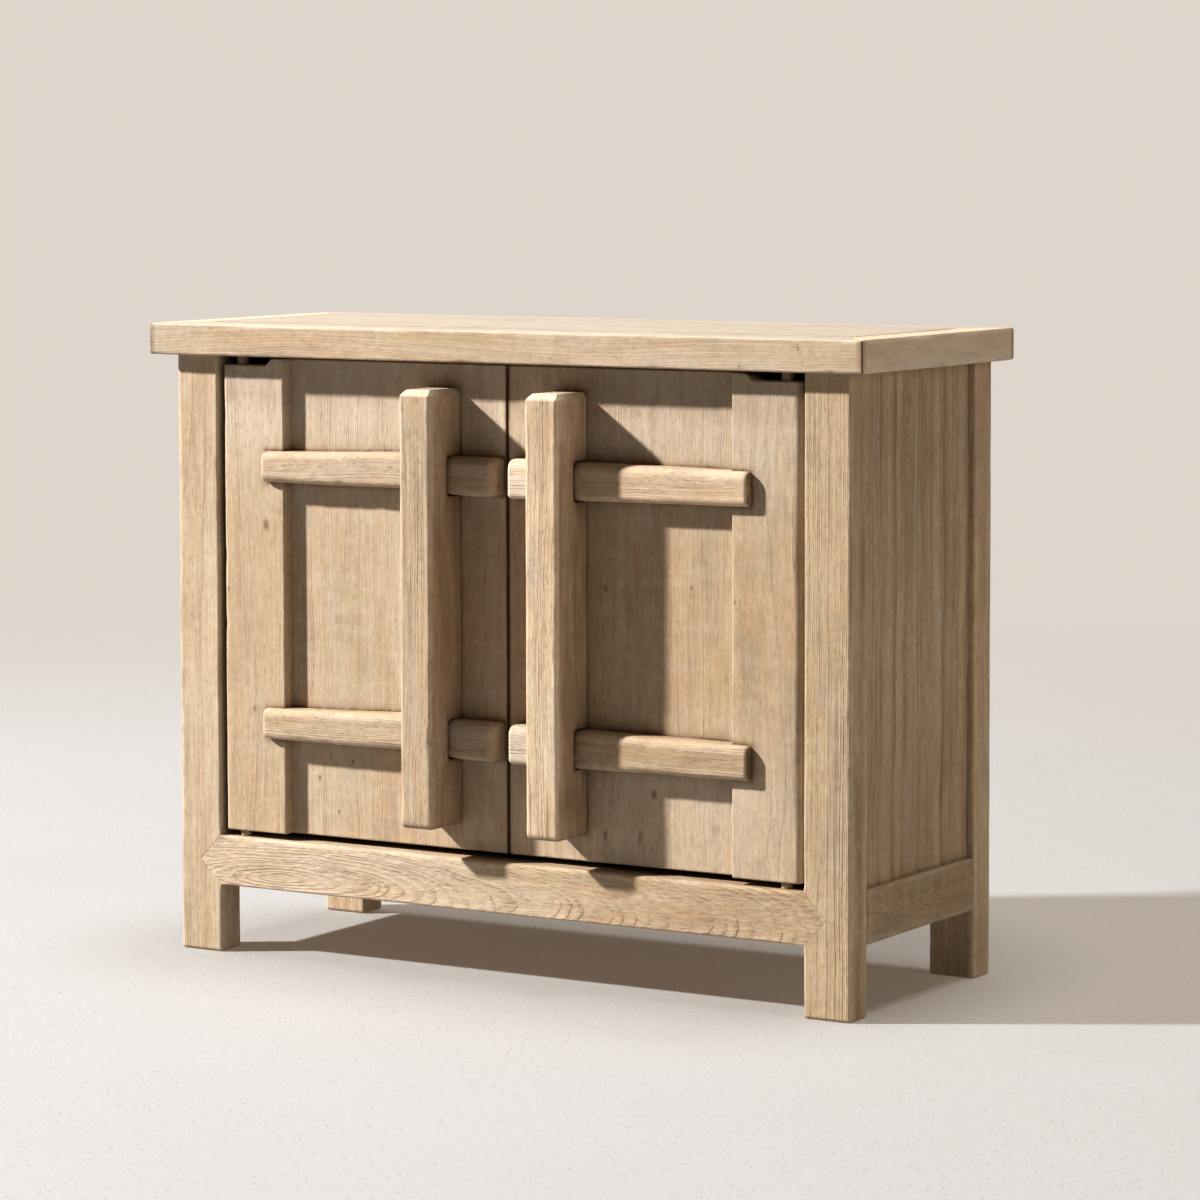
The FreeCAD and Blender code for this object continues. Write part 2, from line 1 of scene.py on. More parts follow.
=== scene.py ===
import math
import zlib
import bmesh
import bpy
import numpy as np
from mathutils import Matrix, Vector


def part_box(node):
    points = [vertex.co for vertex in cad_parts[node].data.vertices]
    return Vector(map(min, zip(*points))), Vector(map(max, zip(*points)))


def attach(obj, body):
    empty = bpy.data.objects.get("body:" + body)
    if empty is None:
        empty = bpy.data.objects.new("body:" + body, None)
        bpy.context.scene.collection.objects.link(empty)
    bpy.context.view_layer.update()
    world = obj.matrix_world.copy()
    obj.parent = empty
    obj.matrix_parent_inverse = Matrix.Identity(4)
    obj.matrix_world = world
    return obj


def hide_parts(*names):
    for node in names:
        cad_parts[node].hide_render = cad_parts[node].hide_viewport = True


# A solid elm cabinet with two pivoted doors. Everything is in metres, with right along +X,
# the back along +Y and up along +Z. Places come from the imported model's own boxes.
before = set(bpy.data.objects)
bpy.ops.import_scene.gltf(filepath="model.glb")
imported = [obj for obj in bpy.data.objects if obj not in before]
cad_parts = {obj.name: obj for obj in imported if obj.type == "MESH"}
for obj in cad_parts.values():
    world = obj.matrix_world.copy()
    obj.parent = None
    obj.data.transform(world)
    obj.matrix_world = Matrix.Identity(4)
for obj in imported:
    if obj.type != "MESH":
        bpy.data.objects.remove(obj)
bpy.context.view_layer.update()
tau = 2 * math.pi


def boxOf(node):
    low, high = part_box(node)
    return np.array(low), np.array(high)


# Camera

cameraView = {
    "place": (2.9072, -4.7005, 1.0335),
    "turn": 31.324,       # degrees to the left of straight on
    "down": 4.101,        # degrees below level
    "roll": 0.113,
    "lens": 133.64,       # millimetres on a 36 mm sensor
    "shiftUp": -0.12,
}


def setCamera(view):
    data = bpy.data.cameras.new("camera")
    data.sensor_width = 36
    data.lens = view["lens"]
    data.shift_y = view["shiftUp"]
    data.clip_end = 200
    camera = bpy.data.objects.new("camera", data)
    camera.location = view["place"]
    camera.rotation_euler = [math.radians(angle) for angle in (90 - view["down"], view["roll"], view["turn"])]
    bpy.context.scene.collection.objects.link(camera)
    bpy.context.scene.camera = camera


setCamera(cameraView)
print("camera set")


# Shader maths: a Wire holds one socket, and sums on it add the Math nodes

class Wire:
    def __init__(self, paint, socket):
        self.paint = paint
        self.socket = socket

    def maths(self, operation, *values):
        sockets = dict(enumerate(values))
        return self.paint.node("ShaderNodeMath", {"operation": operation}, sockets)

    def __add__(self, other):
        return self.maths("ADD", self, other)

    def __sub__(self, other):
        return self.maths("SUBTRACT", self, other)

    def __rsub__(self, other):
        return self.maths("SUBTRACT", other, self)

    def __mul__(self, other):
        return self.maths("MULTIPLY", self, other)

    def __truediv__(self, other):
        return self.maths("DIVIDE", self, other)

    def __pow__(self, other):
        return self.maths("POWER", self, other)

    __radd__ = __add__
    __rmul__ = __mul__


class Paint:
    def __init__(self, name):
        self.material = bpy.data.materials.new(name)
        self.material.use_nodes = True
        self.tree = self.material.node_tree
        self.surface = self.tree.nodes["Principled BSDF"]

    def feed(self, socket, value):
        if isinstance(value, Wire):
            self.tree.links.new(value.socket, socket)
        else:
            socket.default_value = value

    def node(self, kind, settings, sockets, output=0):
        node = self.tree.nodes.new(kind)
        for name, value in settings.items():
            if name == "stops":
                self.setStops(node.color_ramp, value)
            else:
                setattr(node, name, value)
        for name, value in sockets.items():
            self.feed(node.inputs[name], value)
        return Wire(self, node.outputs[output])

    def setStops(self, ramp, stops):
        while len(ramp.elements) < len(stops):
            ramp.elements.new(1)
        for element, (place, colour) in zip(ramp.elements, stops):
            element.position = place
            element.color = (*colour, 1)

    def attribute(self, name):
        return self.node("ShaderNodeAttribute", {"attribute_name": name}, {}, "Vector")

    def place(self):
        return self.node("ShaderNodeTexCoord", {}, {}, "Object")

    def parts(self, vector):
        return [self.node("ShaderNodeSeparateXYZ", {}, {0: vector}, number) for number in range(3)]

    def stretched(self, vector, scales):
        return self.node("ShaderNodeVectorMath", {"operation": "MULTIPLY"}, {0: vector, 1: scales})

    def noise(self, vector, scales, detail=2.0, rough=0.5, output=0):
        return self.node("ShaderNodeTexNoise", {}, {"Vector": self.stretched(vector, scales), "Scale": 1.0,
                                                    "Detail": detail, "Roughness": rough}, output)

    def lineNoise(self, value, detail=0.0):
        return self.node("ShaderNodeTexNoise", {"noise_dimensions": "1D"},
                         {"W": value, "Scale": 1.0, "Detail": detail})

    def rise(self, value, low, high, bottom=0.0, top=1.0):
        # From bottom to top while value goes from low to high, with an easy start and end
        return self.node("ShaderNodeMapRange", {"interpolation_type": "SMOOTHSTEP"},
                         {"Value": value, "From Min": low, "From Max": high, "To Min": bottom, "To Max": top})

    def blend(self, share, first, second, kind="MIX"):
        colours = {number: (*colour, 1) if isinstance(colour, tuple) else colour
                   for number, colour in ((6, first), (7, second))}
        return self.node("ShaderNodeMix", {"data_type": "RGBA", "blend_type": kind},
                         {0: share, **colours}, 2)

    def bump(self, height, strength=1.0):
        # The height is in metres
        return self.node("ShaderNodeBump", {}, {"Strength": strength, "Distance": 1.0, "Height": height})

    def finish(self, **inputs):
        for name, value in inputs.items():
            self.feed(self.surface.inputs[name.replace("_", " ")], value)
        return self.material


# Wood. The grain attribute is a place inside the log: along it, and across it from the pith.
# The marks attribute holds wear on the arrises, darkness (dirt, and in places painted shade), and the board's
# own tone. The figure attribute holds the force of the rings, the force of the relief, and how far the sun
# has bleached it.

elmTones = {
    "honey": (0.408, 0.294, 0.186),
    "pale": (0.436, 0.340, 0.240),
    "bleached": (0.468, 0.396, 0.312),
    "rosy": (0.380, 0.258, 0.168),
    "olive": (0.300, 0.240, 0.160),
    "late": (0.265, 0.178, 0.110),
    "pore": (0.175, 0.115, 0.070),
    "grey": (0.290, 0.240, 0.188),
    "worn": (0.540, 0.455, 0.350),
    "sun": (0.520, 0.458, 0.388),
    "stain": (0.215, 0.155, 0.100),
    "film": (0.235, 0.150, 0.084),
    "darkness": (0.075, 0.052, 0.033),
}
# Knots as x, z, radius, darkness, and height against width. The tall ones are drying cracks.
doorKnots = [
    (-0.350, 0.548, 0.0050, 0.8, 1.6), (-0.408, 0.465, 0.0025, 0.6, 1.6), (-0.369, 0.315, 0.0030, 0.6, 1.6),
    (-0.281, 0.231, 0.0030, 0.7, 1.6), (-0.2305, 0.2545, 0.0025, 0.7, 1.6), (-0.252, 0.190, 0.0025, 0.6, 1.6),
    (0.2066, 0.246, 0.0045, 0.7, 1.6), (0.138, 0.192, 0.0035, 0.7, 2.0), (0.139, 0.491, 0.0030, 0.7, 1.6),
    (0.2586, 0.498, 0.0022, 0.7, 1.6), (0.3273, 0.486, 0.0020, 0.6, 1.6), (0.2909, 0.2104, 0.0075, 0.3, 1.2),
    (0.0996, 0.2171, 0.0016, 0.8, 22.0), (0.1138, 0.2329, 0.0014, 0.7, 26.0),
    (0.1870, 0.1924, 0.0024, 0.6, 5.0),
]
topKnots = [(0.4254, 0.7890, 0.0016, 0.6, 3.5), (0.3472, 0.7664, 0.0014, 0.5, 2.5)]   # on its front
knotShape = {"edge": (0.3, 1.3), "bend": 0.9, "bendReach": 5.0}     # all times the knot's radius
# Noises: waves to a metre along the grain and across it, detail, and roughness
grainNoise = {
    "push": (9.0, 30.0, 1.0, 0.5),        # moves all the others, so that no streak runs dead straight
    "slow": (2.4, 12.0, 2.0, 0.5),        # two wobbles of the rings
    "quick": (16.0, 50.0, 1.0, 0.5),
    "fade": (4.0, 30.0, 2.0, 0.5),        # where the rings show
    "fibres": (10.0, 290.0, 1.0, 0.5),
    "pores": (110.0, 500.0, 1.0, 0.5),    # short and dark, in the early wood
    "poreArea": (7.0, 70.0, 1.0, 0.5),
    "mottle": (90.0, 125.0, 3.0, 0.75),   # as of old sanding
    "bands": (1.8, 44.0, 3.0, 0.6),       # from here on, soft areas of colour
    "streaks": (5.0, 115.0, 2.0, 0.6),
    "patches": (5.0, 22.0, 3.0, 0.6),
    "clouds": (3.0, 13.0, 2.0, 0.5),
    "blotches": (15.0, 46.0, 3.0, 0.6),
    "wipes": (55.0, 14.0, 3.0, 0.6),      # pale, across the grain
}
# Soft steps that turn a value into a share: where they start and end, and the share at each,
# where that isn't 0 and 1
elmSteps = {
    "late": (0.25, 0.86),                 # the dark late wood of each ring, and its end
    "lateEnd": (0.90, 1.0, 1.0, 0.0),
    "years": (0.25, 0.75, 0.15, 1.0),     # weak and strong years
    "fade": (0.34, 0.62, 0.35, 1.0),
    "broken": (0.80, 1.10, 0.60, 1.0),
    "pores": (0.53, 0.70),
    "poreArea": (0.38, 0.64, 0.25, 1.0),
    "latePores": (0.55, 0.80, 1.0, 0.5),
    "bands": (0.34, 0.66),
    "rosy": (0.50, 0.68, 0.0, 0.45),
    "olive": (0.48, 0.30, 0.0, 0.40),
    "bleached": (0.46, 0.64),
    "grey": (0.46, 0.28, 0.0, 0.55),
    "darkStreaks": (0.54, 0.72, 0.0, 0.26),
    "paleStreaks": (0.46, 0.30, 0.0, 0.24),
    "sun": (0.75, 1.20, 0.60, 1.0),
    "darkFibres": (0.46, 0.28, 0.0, 0.26),
    "paleFibres": (0.54, 0.72, 0.0, 0.24),
    "wipes": (0.46, 0.68),
    "greyBlotches": (0.58, 0.80, 0.0, 0.28),
    "wear": (0.36, 0.64, 0.034, 0.34),
    "stain": (1.06, 1.34, 0.0, 0.30),
    "soil": (0.52, 0.92, 0.45, 1.25),
}
elmRings = {
    "push": 0.0050,           # metres, as the wobbles are
    "slow": 0.007,
    "quick": 0.0018,
    "spread": (60.0, 3.0),    # wide and narrow years: how soon they change, and by how much
    "years": (170.0, 5.0),    # how soon strong years change to weak ones, and where that starts
    "poreShow": 0.28,
    "lateHeight": 0.00030,
    "poreDepth": 0.00006,
}
elmLight = {"blotches": 0.32, "mottle": 0.36, "pores": -0.18}
elmHeight = {"fibres": 0.00026, "blotches": 0.00040, "mottle": 0.00020, "pores": 0.00006}
elmFinish = {"tone": 0.08, "film": 1.6, "darkness": 0.6, "rough": 0.62, "fibreRough": 0.20, "soilRough": 0.10,
             "specular": 0.30}


def knotMarks(paint, knots):
    # Each knot is a dark bell of its own radius, and the rings bend round it for five times as far
    x, _, z = paint.parts(paint.place())
    core = bend = 0.0
    start, end = knotShape["edge"]
    for middleX, middleZ, radius, dark, tall in knots:
        away = ((x - middleX) ** 2 + ((z - middleZ) / tall) ** 2) ** 0.5
        core = paint.rise(away, radius * start, radius * end, dark, 0.0) + core
        bend = paint.rise(away, 0.0, radius * knotShape["bendReach"], radius * knotShape["bend"], 0.0) + bend
    return core, bend


def elmWood(name, ringWidth, ringShow, bleach=0.5, knots=(), lively=1.0, wiped=0.0, **changes):
    # lively is the force of the fine streaks, wiped that of pale wipes, and changes are tones of its own
    paint = Paint(name)
    tones = {**elmTones, **changes}

    def noiseOf(label, vector, output=0):
        along, across, detail, rough = grainNoise[label]
        return paint.noise(vector, (along, across, across), detail, rough, output)

    def step(label, value):
        return paint.rise(value, *elmSteps[label])

    worn, darkness, tone = paint.parts(paint.attribute("marks"))
    ringForce, relief, sun = paint.parts(paint.attribute("figure"))
    straight = paint.attribute("grain")
    push = elmRings["push"]
    log = paint.node("ShaderNodeVectorMath", {"operation": "MULTIPLY_ADD"},
                     {0: noiseOf("push", straight, 1), 1: (0.0, push, push), 2: straight})
    noise = {label: noiseOf(label, log) for label in grainNoise if label != "push"}
    fibres, pores, streaks, patches, clouds, blotches = [
        noise[label] for label in ("fibres", "pores", "streaks", "patches", "clouds", "blotches")]

    # Rings round the pith, pushed about by two wobbles and by the knots
    _, across, deep = paint.parts(log)
    core, bend = knotMarks(paint, knots)
    radius = ((across * across + deep * deep) ** 0.5 + (noise["slow"] - 0.5) * elmRings["slow"]
              + (noise["quick"] - 0.5) * elmRings["quick"] + bend)
    pace, spread = elmRings["spread"]
    rings = radius / ringWidth + paint.lineNoise(radius * pace, 1.0) * spread
    phase = rings.maths("FRACT", rings)
    pace, start = elmRings["years"]
    years = paint.lineNoise(radius * pace + start)
    lateLines = (step("late", phase) * step("lateEnd", phase) * step("years", years)
                 * step("fade", noise["fade"]) * step("broken", fibres + pores))
    dashes = step("pores", pores) * step("poreArea", noise["poreArea"]) * step("latePores", phase)
    soil = darkness * step("soil", blotches + streaks * 0.5)

    # Tones laid over one another. Thin darkness, which is dirt and in places painted shade, is a warm brown
    # film, and only thick darkness is dark.
    layers = [
        ("rosy", step("rosy", clouds)),
        ("olive", step("olive", clouds)),
        ("bleached", step("bleached", patches) * bleach),
        ("grey", step("grey", patches)),
        ("late", step("darkStreaks", streaks) * lively),
        ("bleached", step("paleStreaks", streaks) * lively),
        ("sun", sun * step("sun", patches + streaks)),
        ("late", lateLines * (ringForce * ringShow)),
        ("late", step("darkFibres", fibres) * lively),
        ("worn", step("paleFibres", fibres) * lively),
        ("pore", dashes * (elmRings["poreShow"] * lively)),
        ("bleached", step("wipes", noise["wipes"]) * wiped),
        ("grey", step("greyBlotches", blotches)),
        ("worn", worn * step("wear", blotches)),
        ("pore", core),
        ("stain", step("stain", patches + blotches)),
        ("film", soil.maths("MINIMUM", soil * elmFinish["film"], 1.0)),
        ("darkness", soil * elmFinish["darkness"]),
    ]
    colour = paint.blend(step("bands", noise["bands"]), tones["honey"], tones["pale"])
    for label, share in layers:
        colour = paint.blend(share, colour, tones[label])
    light = (1 + tone * elmFinish["tone"]
             + sum((noise[label] - 0.5) * force for label, force in elmLight.items()))
    colour = paint.node("ShaderNodeVectorMath", {"operation": "SCALE"}, {0: colour, "Scale": light})
    height = (lateLines * elmRings["lateHeight"] - dashes * elmRings["poreDepth"]
              + sum(noise[label] * metres for label, metres in elmHeight.items()))
    roughness = elmFinish["rough"] + fibres * elmFinish["fibreRough"] + soil * elmFinish["soilRough"]
    return paint.finish(Base_Color=colour, Roughness=roughness, Normal=paint.bump(height * relief),
                        Specular_IOR_Level=elmFinish["specular"])


woods = {
    "case_wood": elmWood("case wood", ringWidth=0.0033, ringShow=0.50),
    "top_wood": elmWood("top wood", ringWidth=0.0040, ringShow=0.30, bleach=0.6, knots=topKnots, lively=0.80,
                        wiped=0.15, sun=(0.398, 0.368, 0.334), worn=(0.48, 0.405, 0.32)),
    "door_wood": elmWood("door wood", ringWidth=0.0027, ringShow=0.40, knots=doorKnots, lively=1.35),
    "stile_wood": elmWood("stile wood", ringWidth=0.0027, ringShow=0.36, bleach=0.15, knots=doorKnots,
                          lively=0.75, wiped=0.25, pale=(0.428, 0.322, 0.206)),
    "board_wood": elmWood("board wood", ringWidth=0.0027, ringShow=0.26, knots=doorKnots, lively=0.60,
                          wiped=0.40),
    "inner_wood": elmWood("inner wood", ringWidth=0.0050, ringShow=0.40, bleach=0.2),
}
print("woods mixed")


# Surfaces. A piece is an outline carried along its length. Near the ends the outline is drawn in
# by a quarter circle, and it closes on the middle of each end.

arcShares = np.linspace(0, math.pi / 2, 6)
edgeSteps = (0.0012, 0.0045)      # the first places in from an arris or an end
hair = 0.00002                    # between two grid lines that make a sharp step
leastRound = 0.0002
mostDarkness = 0.85


def ripple(seed, places, shortest, longest, count=8):
    # A sum of sines along a line: the heights fall with the wave's length, and the sum is about 1 high
    dice = np.random.default_rng(seed)
    lengths = np.exp(dice.uniform(math.log(shortest), math.log(longest), count))
    heights = np.sqrt(lengths) * dice.normal(size=count)
    waves = heights * np.sin(tau * np.asarray(places)[..., None] / lengths + dice.uniform(0, tau, count))
    return waves.sum(-1) / (1.5 * np.sqrt((heights ** 2).sum()))


def sway(seed, points, shortest, longest, count=10):
    # Plane waves through space, each pushing the points its own way, about 1 long in all
    dice = np.random.default_rng(seed)
    ways = dice.normal(size=(count, 3))
    ways /= np.linalg.norm(ways, axis=1)[:, None]
    lengths = np.exp(dice.uniform(math.log(shortest), math.log(longest), count))
    pushes = dice.normal(size=(count, 3))
    angles = tau * points @ (ways / lengths[:, None]).T + dice.uniform(0, tau, count)
    return np.clip(np.sin(angles) @ pushes / (1.6 * math.sqrt(count)), -1, 1)


def nicks(seed, places, look):
    # Bell shaped hollows at seeded places along an arris
    dice = np.random.default_rng(seed)
    low, high = places.min(), places.max()
    count = dice.poisson(look["nicks"] * (high - low))
    middles = dice.uniform(low, high, count)
    widths = dice.uniform(*look["nickWidth"], count)
    depths = look["nickDepth"] * dice.uniform(0.2, 1, count) ** 2
    return (depths * np.exp(-((places[:, None] - middles) / widths) ** 2)).sum(-1)


def fade(values, start, end):
    # 0 at the start, 1 at the end, and a straight line between
    return np.clip((values - start) / (end - start), 0, 1)


def columns(places, *values):
    # A column for each value, which is a number or one per place
    return np.stack([np.broadcast_to(value, places.shape) for value in values], -1)


def rectangle(p0, p1, q0, q1):
    # Corners counter-clockwise, each value a number or one per station
    p0, p1, q0, q1 = np.broadcast_arrays(*[np.atleast_1d(value) for value in (p0, p1, q0, q1)])
    return np.stack([np.stack(pair, -1) for pair in ((p0, q0), (p1, q0), (p1, q1), (p0, q1))], 1)


squareTurns = np.array([(1, 0), (0, 1), (-1, 0), (0, -1)], float)


def sideStops(length, spacing, kinks=()):
    # Places along one side, close together beside its ends, as shares of its length
    near = [distance for distance in edgeSteps if distance < length * 0.3]
    margin = sum(near[-1:])
    inner = np.linspace(margin, length - margin, max(1, round((length - 2 * margin) / spacing)) + 1)
    stops = np.concatenate([near, inner, [length - distance for distance in near], kinks])
    stops = np.unique(np.round(stops, 6))
    return stops[(stops > 1e-4) & (stops < length - 1e-4)] / length


def carriedOutline(corners, turns, rounds, stops):
    # A corner's arc is the corner, less round * (1 - sin a) of the side before it,
    # and with round * (1 - cos a) of the side after it
    rings = []
    count = len(turns)
    for number in range(count):
        before, after = turns[number - 1], turns[number]
        following = (number + 1) % count
        reach = rounds[:, number, None, None]
        arc = (corners[:, number, None] - reach * before * (1 - np.sin(arcShares))[:, None]
               + reach * after * (1 - np.cos(arcShares))[:, None])
        start = corners[:, number] + rounds[:, number, None] * after
        end = corners[:, following] - rounds[:, following, None] * after
        side = start[:, None] + (end - start)[:, None] * stops[number][:, None]
        rings += [arc, side]
    return np.concatenate(rings, 1)


def layStations(length, look, extras):
    # For each station: share of the length, extra distance from that end, inset, and scale of the outline
    endRounds = look["endRounds"]
    stations = [[], []]
    for end in (0, 1):
        reach = endRounds[end]
        rows = [(0.0, reach, scale) for scale in (0.0, 0.4, 0.8)]
        for angle in arcShares if reach > edgeSteps[0] else arcShares[::5]:
            if look["chamfered"][end] and 0 < angle < 1.5:
                # A flat between two short bends
                part = 0.04 + 0.92 * angle / (math.pi / 2)
                rows.append((reach * part, reach * (1 - part), 1.0))
            else:
                rows.append((reach * (1 - math.cos(angle)), reach * (1 - math.sin(angle)), 1.0))
        stations[end] = [(float(end), shift * (1, -1)[end], inset, scale) for shift, inset, scale in rows]
    first, last = endRounds[0] + edgeSteps[0], length - endRounds[1] - edgeSteps[0]
    count = max(2, round((last - first) / look["step"]))
    middle = np.unique(np.round(np.concatenate([np.linspace(first, last, count + 1), extras]), 6))
    middle = middle[(middle >= first - 1e-6) & (middle <= last + 1e-6)]
    rows = stations[0] + [(place / length, 0.0, 0.0, 1.0) for place in middle] + stations[1][::-1]
    return np.array(rows).T


def makeMesh(name, points, attributes):
    # Quads between neighbouring rings, each ring closed
    stations, around = points.shape[:2]
    mesh = bpy.data.meshes.new(name)
    corner = np.arange(stations * around).reshape(stations, around)
    after = np.roll(corner, -1, axis=1)
    quads = np.stack([corner[:-1], after[:-1], after[1:], corner[1:]], -1).reshape(-1, 4)
    # The first and last ring are single points, so their quads are triangles
    flat = np.arange(stations * around)
    flat[:around] = 0
    flat[-around:] = (stations - 1) * around
    quads = flat[quads]
    mesh.from_pydata(points.reshape(-1, 3), [], [tuple(dict.fromkeys(quad)) for quad in quads.tolist()])
    for label, values in attributes.items():
        layer = mesh.attributes.new(label, "FLOAT_VECTOR", "POINT")
        layer.data.foreach_set("vector", values.reshape(-1).astype(np.float32))
    mesh.polygons.foreach_set("use_smooth", np.ones(len(mesh.polygons), bool))
    return mesh


def tidyMesh(mesh):
    work = bmesh.new()
    work.from_mesh(mesh)
    bmesh.ops.remove_doubles(work, verts=work.verts, dist=2e-6)
    loose = [vertex for vertex in work.verts if not vertex.link_faces]
    bmesh.ops.delete(work, geom=loose, context="VERTS")
    work.to_mesh(mesh)
    work.free()


plainLook = {
    "rounds": 0.0015,        # one value, or one for each corner of the outline
    "endRounds": (0.0008, 0.0008),
    "chamfered": (False, False),
    "endPull": (1, 1, 1, 1),  # how much each side takes part in the rounding of the ends
    "grow": (0.0, 0.0, 0.0),
    "wave": 0.00022,         # how far the faces stray
    "waves": (0.07, 0.45),   # the shortest and the longest of the waves in it
    "sidePad": (1, 1, 1, 1),  # which sides draw back by as much
    "stray": 0.15,           # how far the rounds stray, as a share
    "strays": (0.03, 0.5),
    "nicks": 2.0,            # for each metre of arris
    "nickDepth": 0.0012,
    "nickWidth": (0.003, 0.014),
    "grid": 0.012,           # spacing across
    "step": 0.010,           # spacing along
    "pith": None,            # across and deep, from the middle of the piece
    "tilt": (0.0, 0.0),      # how fast the pith leaves the piece's line
    "tiltFrom": 0.0,
    "swell": 0.006,          # how far the pith wanders along the piece
    "swellLength": 0.9,
    "tone": None,
    "log": None,             # pieces cut from one board share its name
    "wood": None,            # where it isn't the slot's own
    "figure": (1.0, 1.0, 0.0),   # force of the rings, force of the relief, bleaching by the sun
    "wearReach": (0.004, 0.006),   # from the arrises, and from the ends
}


def placeInLog(look, seed, along, p, q):
    logSeed = zlib.crc32(look["log"].encode()) if look["log"] else seed
    dice = np.random.default_rng(logSeed + 3)
    pith = look["pith"] or (dice.uniform(-0.05, 0.05), dice.choice([-1, 1]) * dice.uniform(0.04, 0.16))
    tone = look["tone"] if look["tone"] is not None else dice.uniform(-1, 1)
    shortest, longest = look["swellLength"] * 0.6, look["swellLength"] * 1.4
    grain = [along + dice.uniform(2, 30)]
    for number, values in enumerate((p, q)):
        middle = 0.0 if look["log"] else (values.max() + values.min()) / 2
        wander = (look["swell"] * ripple(logSeed + 20 + number, along, shortest, longest, 4)
                  + look["tilt"][number] * (along - look["tiltFrom"]))
        grain.append(values - middle - pith[number] + wander)
    return np.stack(grain, -1), tone


def wearOf(look, ends, places, scale, lengths, stops):
    # Wear is full on the arrises and ends, and dies out within a few millimetres
    arrisReach, endReach = look["wearReach"]
    around = []
    for length, shares in zip(lengths, stops):
        fromArris = np.minimum(shares, 1 - shares) * length
        around += [np.ones(len(arcShares)), np.exp(-(fromArris / arrisReach) ** 1.5)]
    fromEnd = np.maximum(np.minimum(places - ends[0], ends[1] - places), 0)
    tips = np.exp(-(fromEnd / endReach) ** 1.5) * scale ** 2
    return 1 - (1 - np.concatenate(around)) * (1 - tips[:, None])


def carve(node, axis, ends, section, body, slot, look, turns=squareTurns, kinks=None, extras=(), soil=None,
          sun=None, low=None, high=None):
    # The section gives the outline's corners and rounds at each place along the axis, turns the ways
    # that its sides run, kinks and extras places that need a grid line, darkening and sun the darkness
    # (dirt, and in places painted shade) and the bleaching at a point, and low and high the shapes of the two
    # ends.
    look = {**plainLook, **look}
    seed = zlib.crc32(node.encode())
    length = ends[1] - ends[0]
    share, shift, inset, scale = layStations(length, look, np.array(extras) - ends[0])
    places = ends[0] + share * length + shift
    corners, rounds = section(places)
    corners = np.broadcast_to(corners, (len(places),) + corners.shape[1:]).copy()
    rounds = np.broadcast_to(rounds, corners.shape[:2]).copy()
    for number in range(len(turns)):
        # Worn arrises: each round strays a little and takes some nicks
        stray = 1 + look["stray"] * ripple(seed + number, places, *look["strays"])
        dents = nicks(seed + 40 + number, places, look)
        rounds[:, number] = rounds[:, number] * stray + np.where(rounds[:, number] > 0.0008, dents, 0)
    inward = np.stack([-turns[:, 1], turns[:, 0]], -1)
    endPull, sidePad = [np.array(look[label] if len(turns) == 4 else np.ones(len(turns)), float)[:, None]
                        for label in ("endPull", "sidePad")]
    pulled = inward * (inset[:, None, None] * endPull + look["wave"] * sidePad)
    corners += pulled + np.roll(pulled, 1, axis=1)
    rounds = np.maximum(rounds - inset[:, None], leastRound)
    middleRow = corners[len(places) // 2]
    lengths = np.maximum(np.linalg.norm(np.roll(middleRow, -1, axis=0) - middleRow, axis=1), 0.002)
    kinks = kinks or {}
    stops = [sideStops(lengths[number], look["grid"], kinks.get(number, ())) for number in range(len(turns))]
    ring = carriedOutline(corners, turns, rounds, stops)
    middle = (ring.max(1) + ring.min(1)) / 2
    ring = middle[:, None] + (ring - middle[:, None]) * scale[:, None, None]
    p, q = ring[..., 0], ring[..., 1]
    lowEnd = low(p, q) if low else np.full_like(p, ends[0])
    highEnd = high(p, q) if high else np.full_like(p, ends[1])
    pad = look["wave"]
    along = (lowEnd + pad) * (1 - share[:, None]) + (highEnd - pad) * share[:, None] + shift[:, None]
    points = np.zeros(ring.shape[:2] + (3,))
    for offset, values in enumerate((along, p, q)):
        points[..., (axis + offset) % 3] = values
    flat = points.reshape(-1, 3)
    flat += look["wave"] * 0.55 * sway(seed + 7, flat, *look["waves"])

    x, y, z = np.moveaxis(points, -1, 0)
    grain, tone = placeInLog(look, seed, along, p, q)
    wear = wearOf(look, ends, places, scale, lengths, stops)
    darkness = soil(x, y, z) if soil else np.zeros_like(wear)
    marks = np.stack([wear, darkness, np.full_like(wear, tone)], -1)
    figure = np.broadcast_to(np.array(look["figure"], float), marks.shape).copy()
    if sun:
        figure[..., 2] = sun(x, y, z)
    mesh = makeMesh(node + "_form", points, {"grain": grain, "marks": marks, "figure": figure})
    tidyMesh(mesh)
    mesh.materials.append(woods[look["wood"] or slot])
    piece = bpy.data.objects.new(node + "_form", mesh)
    bpy.context.scene.collection.objects.link(piece)
    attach(piece, body)
    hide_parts(node)
    return piece


def carveBar(node, axis, body, slot, look, clip=None, **more):
    # A plain bar or board that fills its node's box, or the part of it between clip's two ends.
    # Grown by half of the gap, boards of one panel meet.
    look = {**plainLook, **look}
    low, high = boxOf(node)
    low, high = low - look["grow"], high + look["grow"]
    p, q = (axis + 1) % 3, (axis + 2) % 3

    def section(places):
        return rectangle(low[p], high[p], low[q], high[q]), np.atleast_2d(look["rounds"])

    return carve(node, axis, clip or (low[axis], high[axis]), section, body, slot, look, **more)


# Places that several pieces share

legLow, legHigh = boxOf("leg_front_right")
railLow, railHigh = boxOf("front_rail")
topLow, topHigh = boxOf("top_front_member")
backLegFront = boxOf("leg_back_right")[0][1]
legInner = legLow[0]
railTip = railHigh[0]
sides = {"left": -1, "right": 1}


# Legs. The front ones have a shallow pocket for the pointed end of the rail's face.

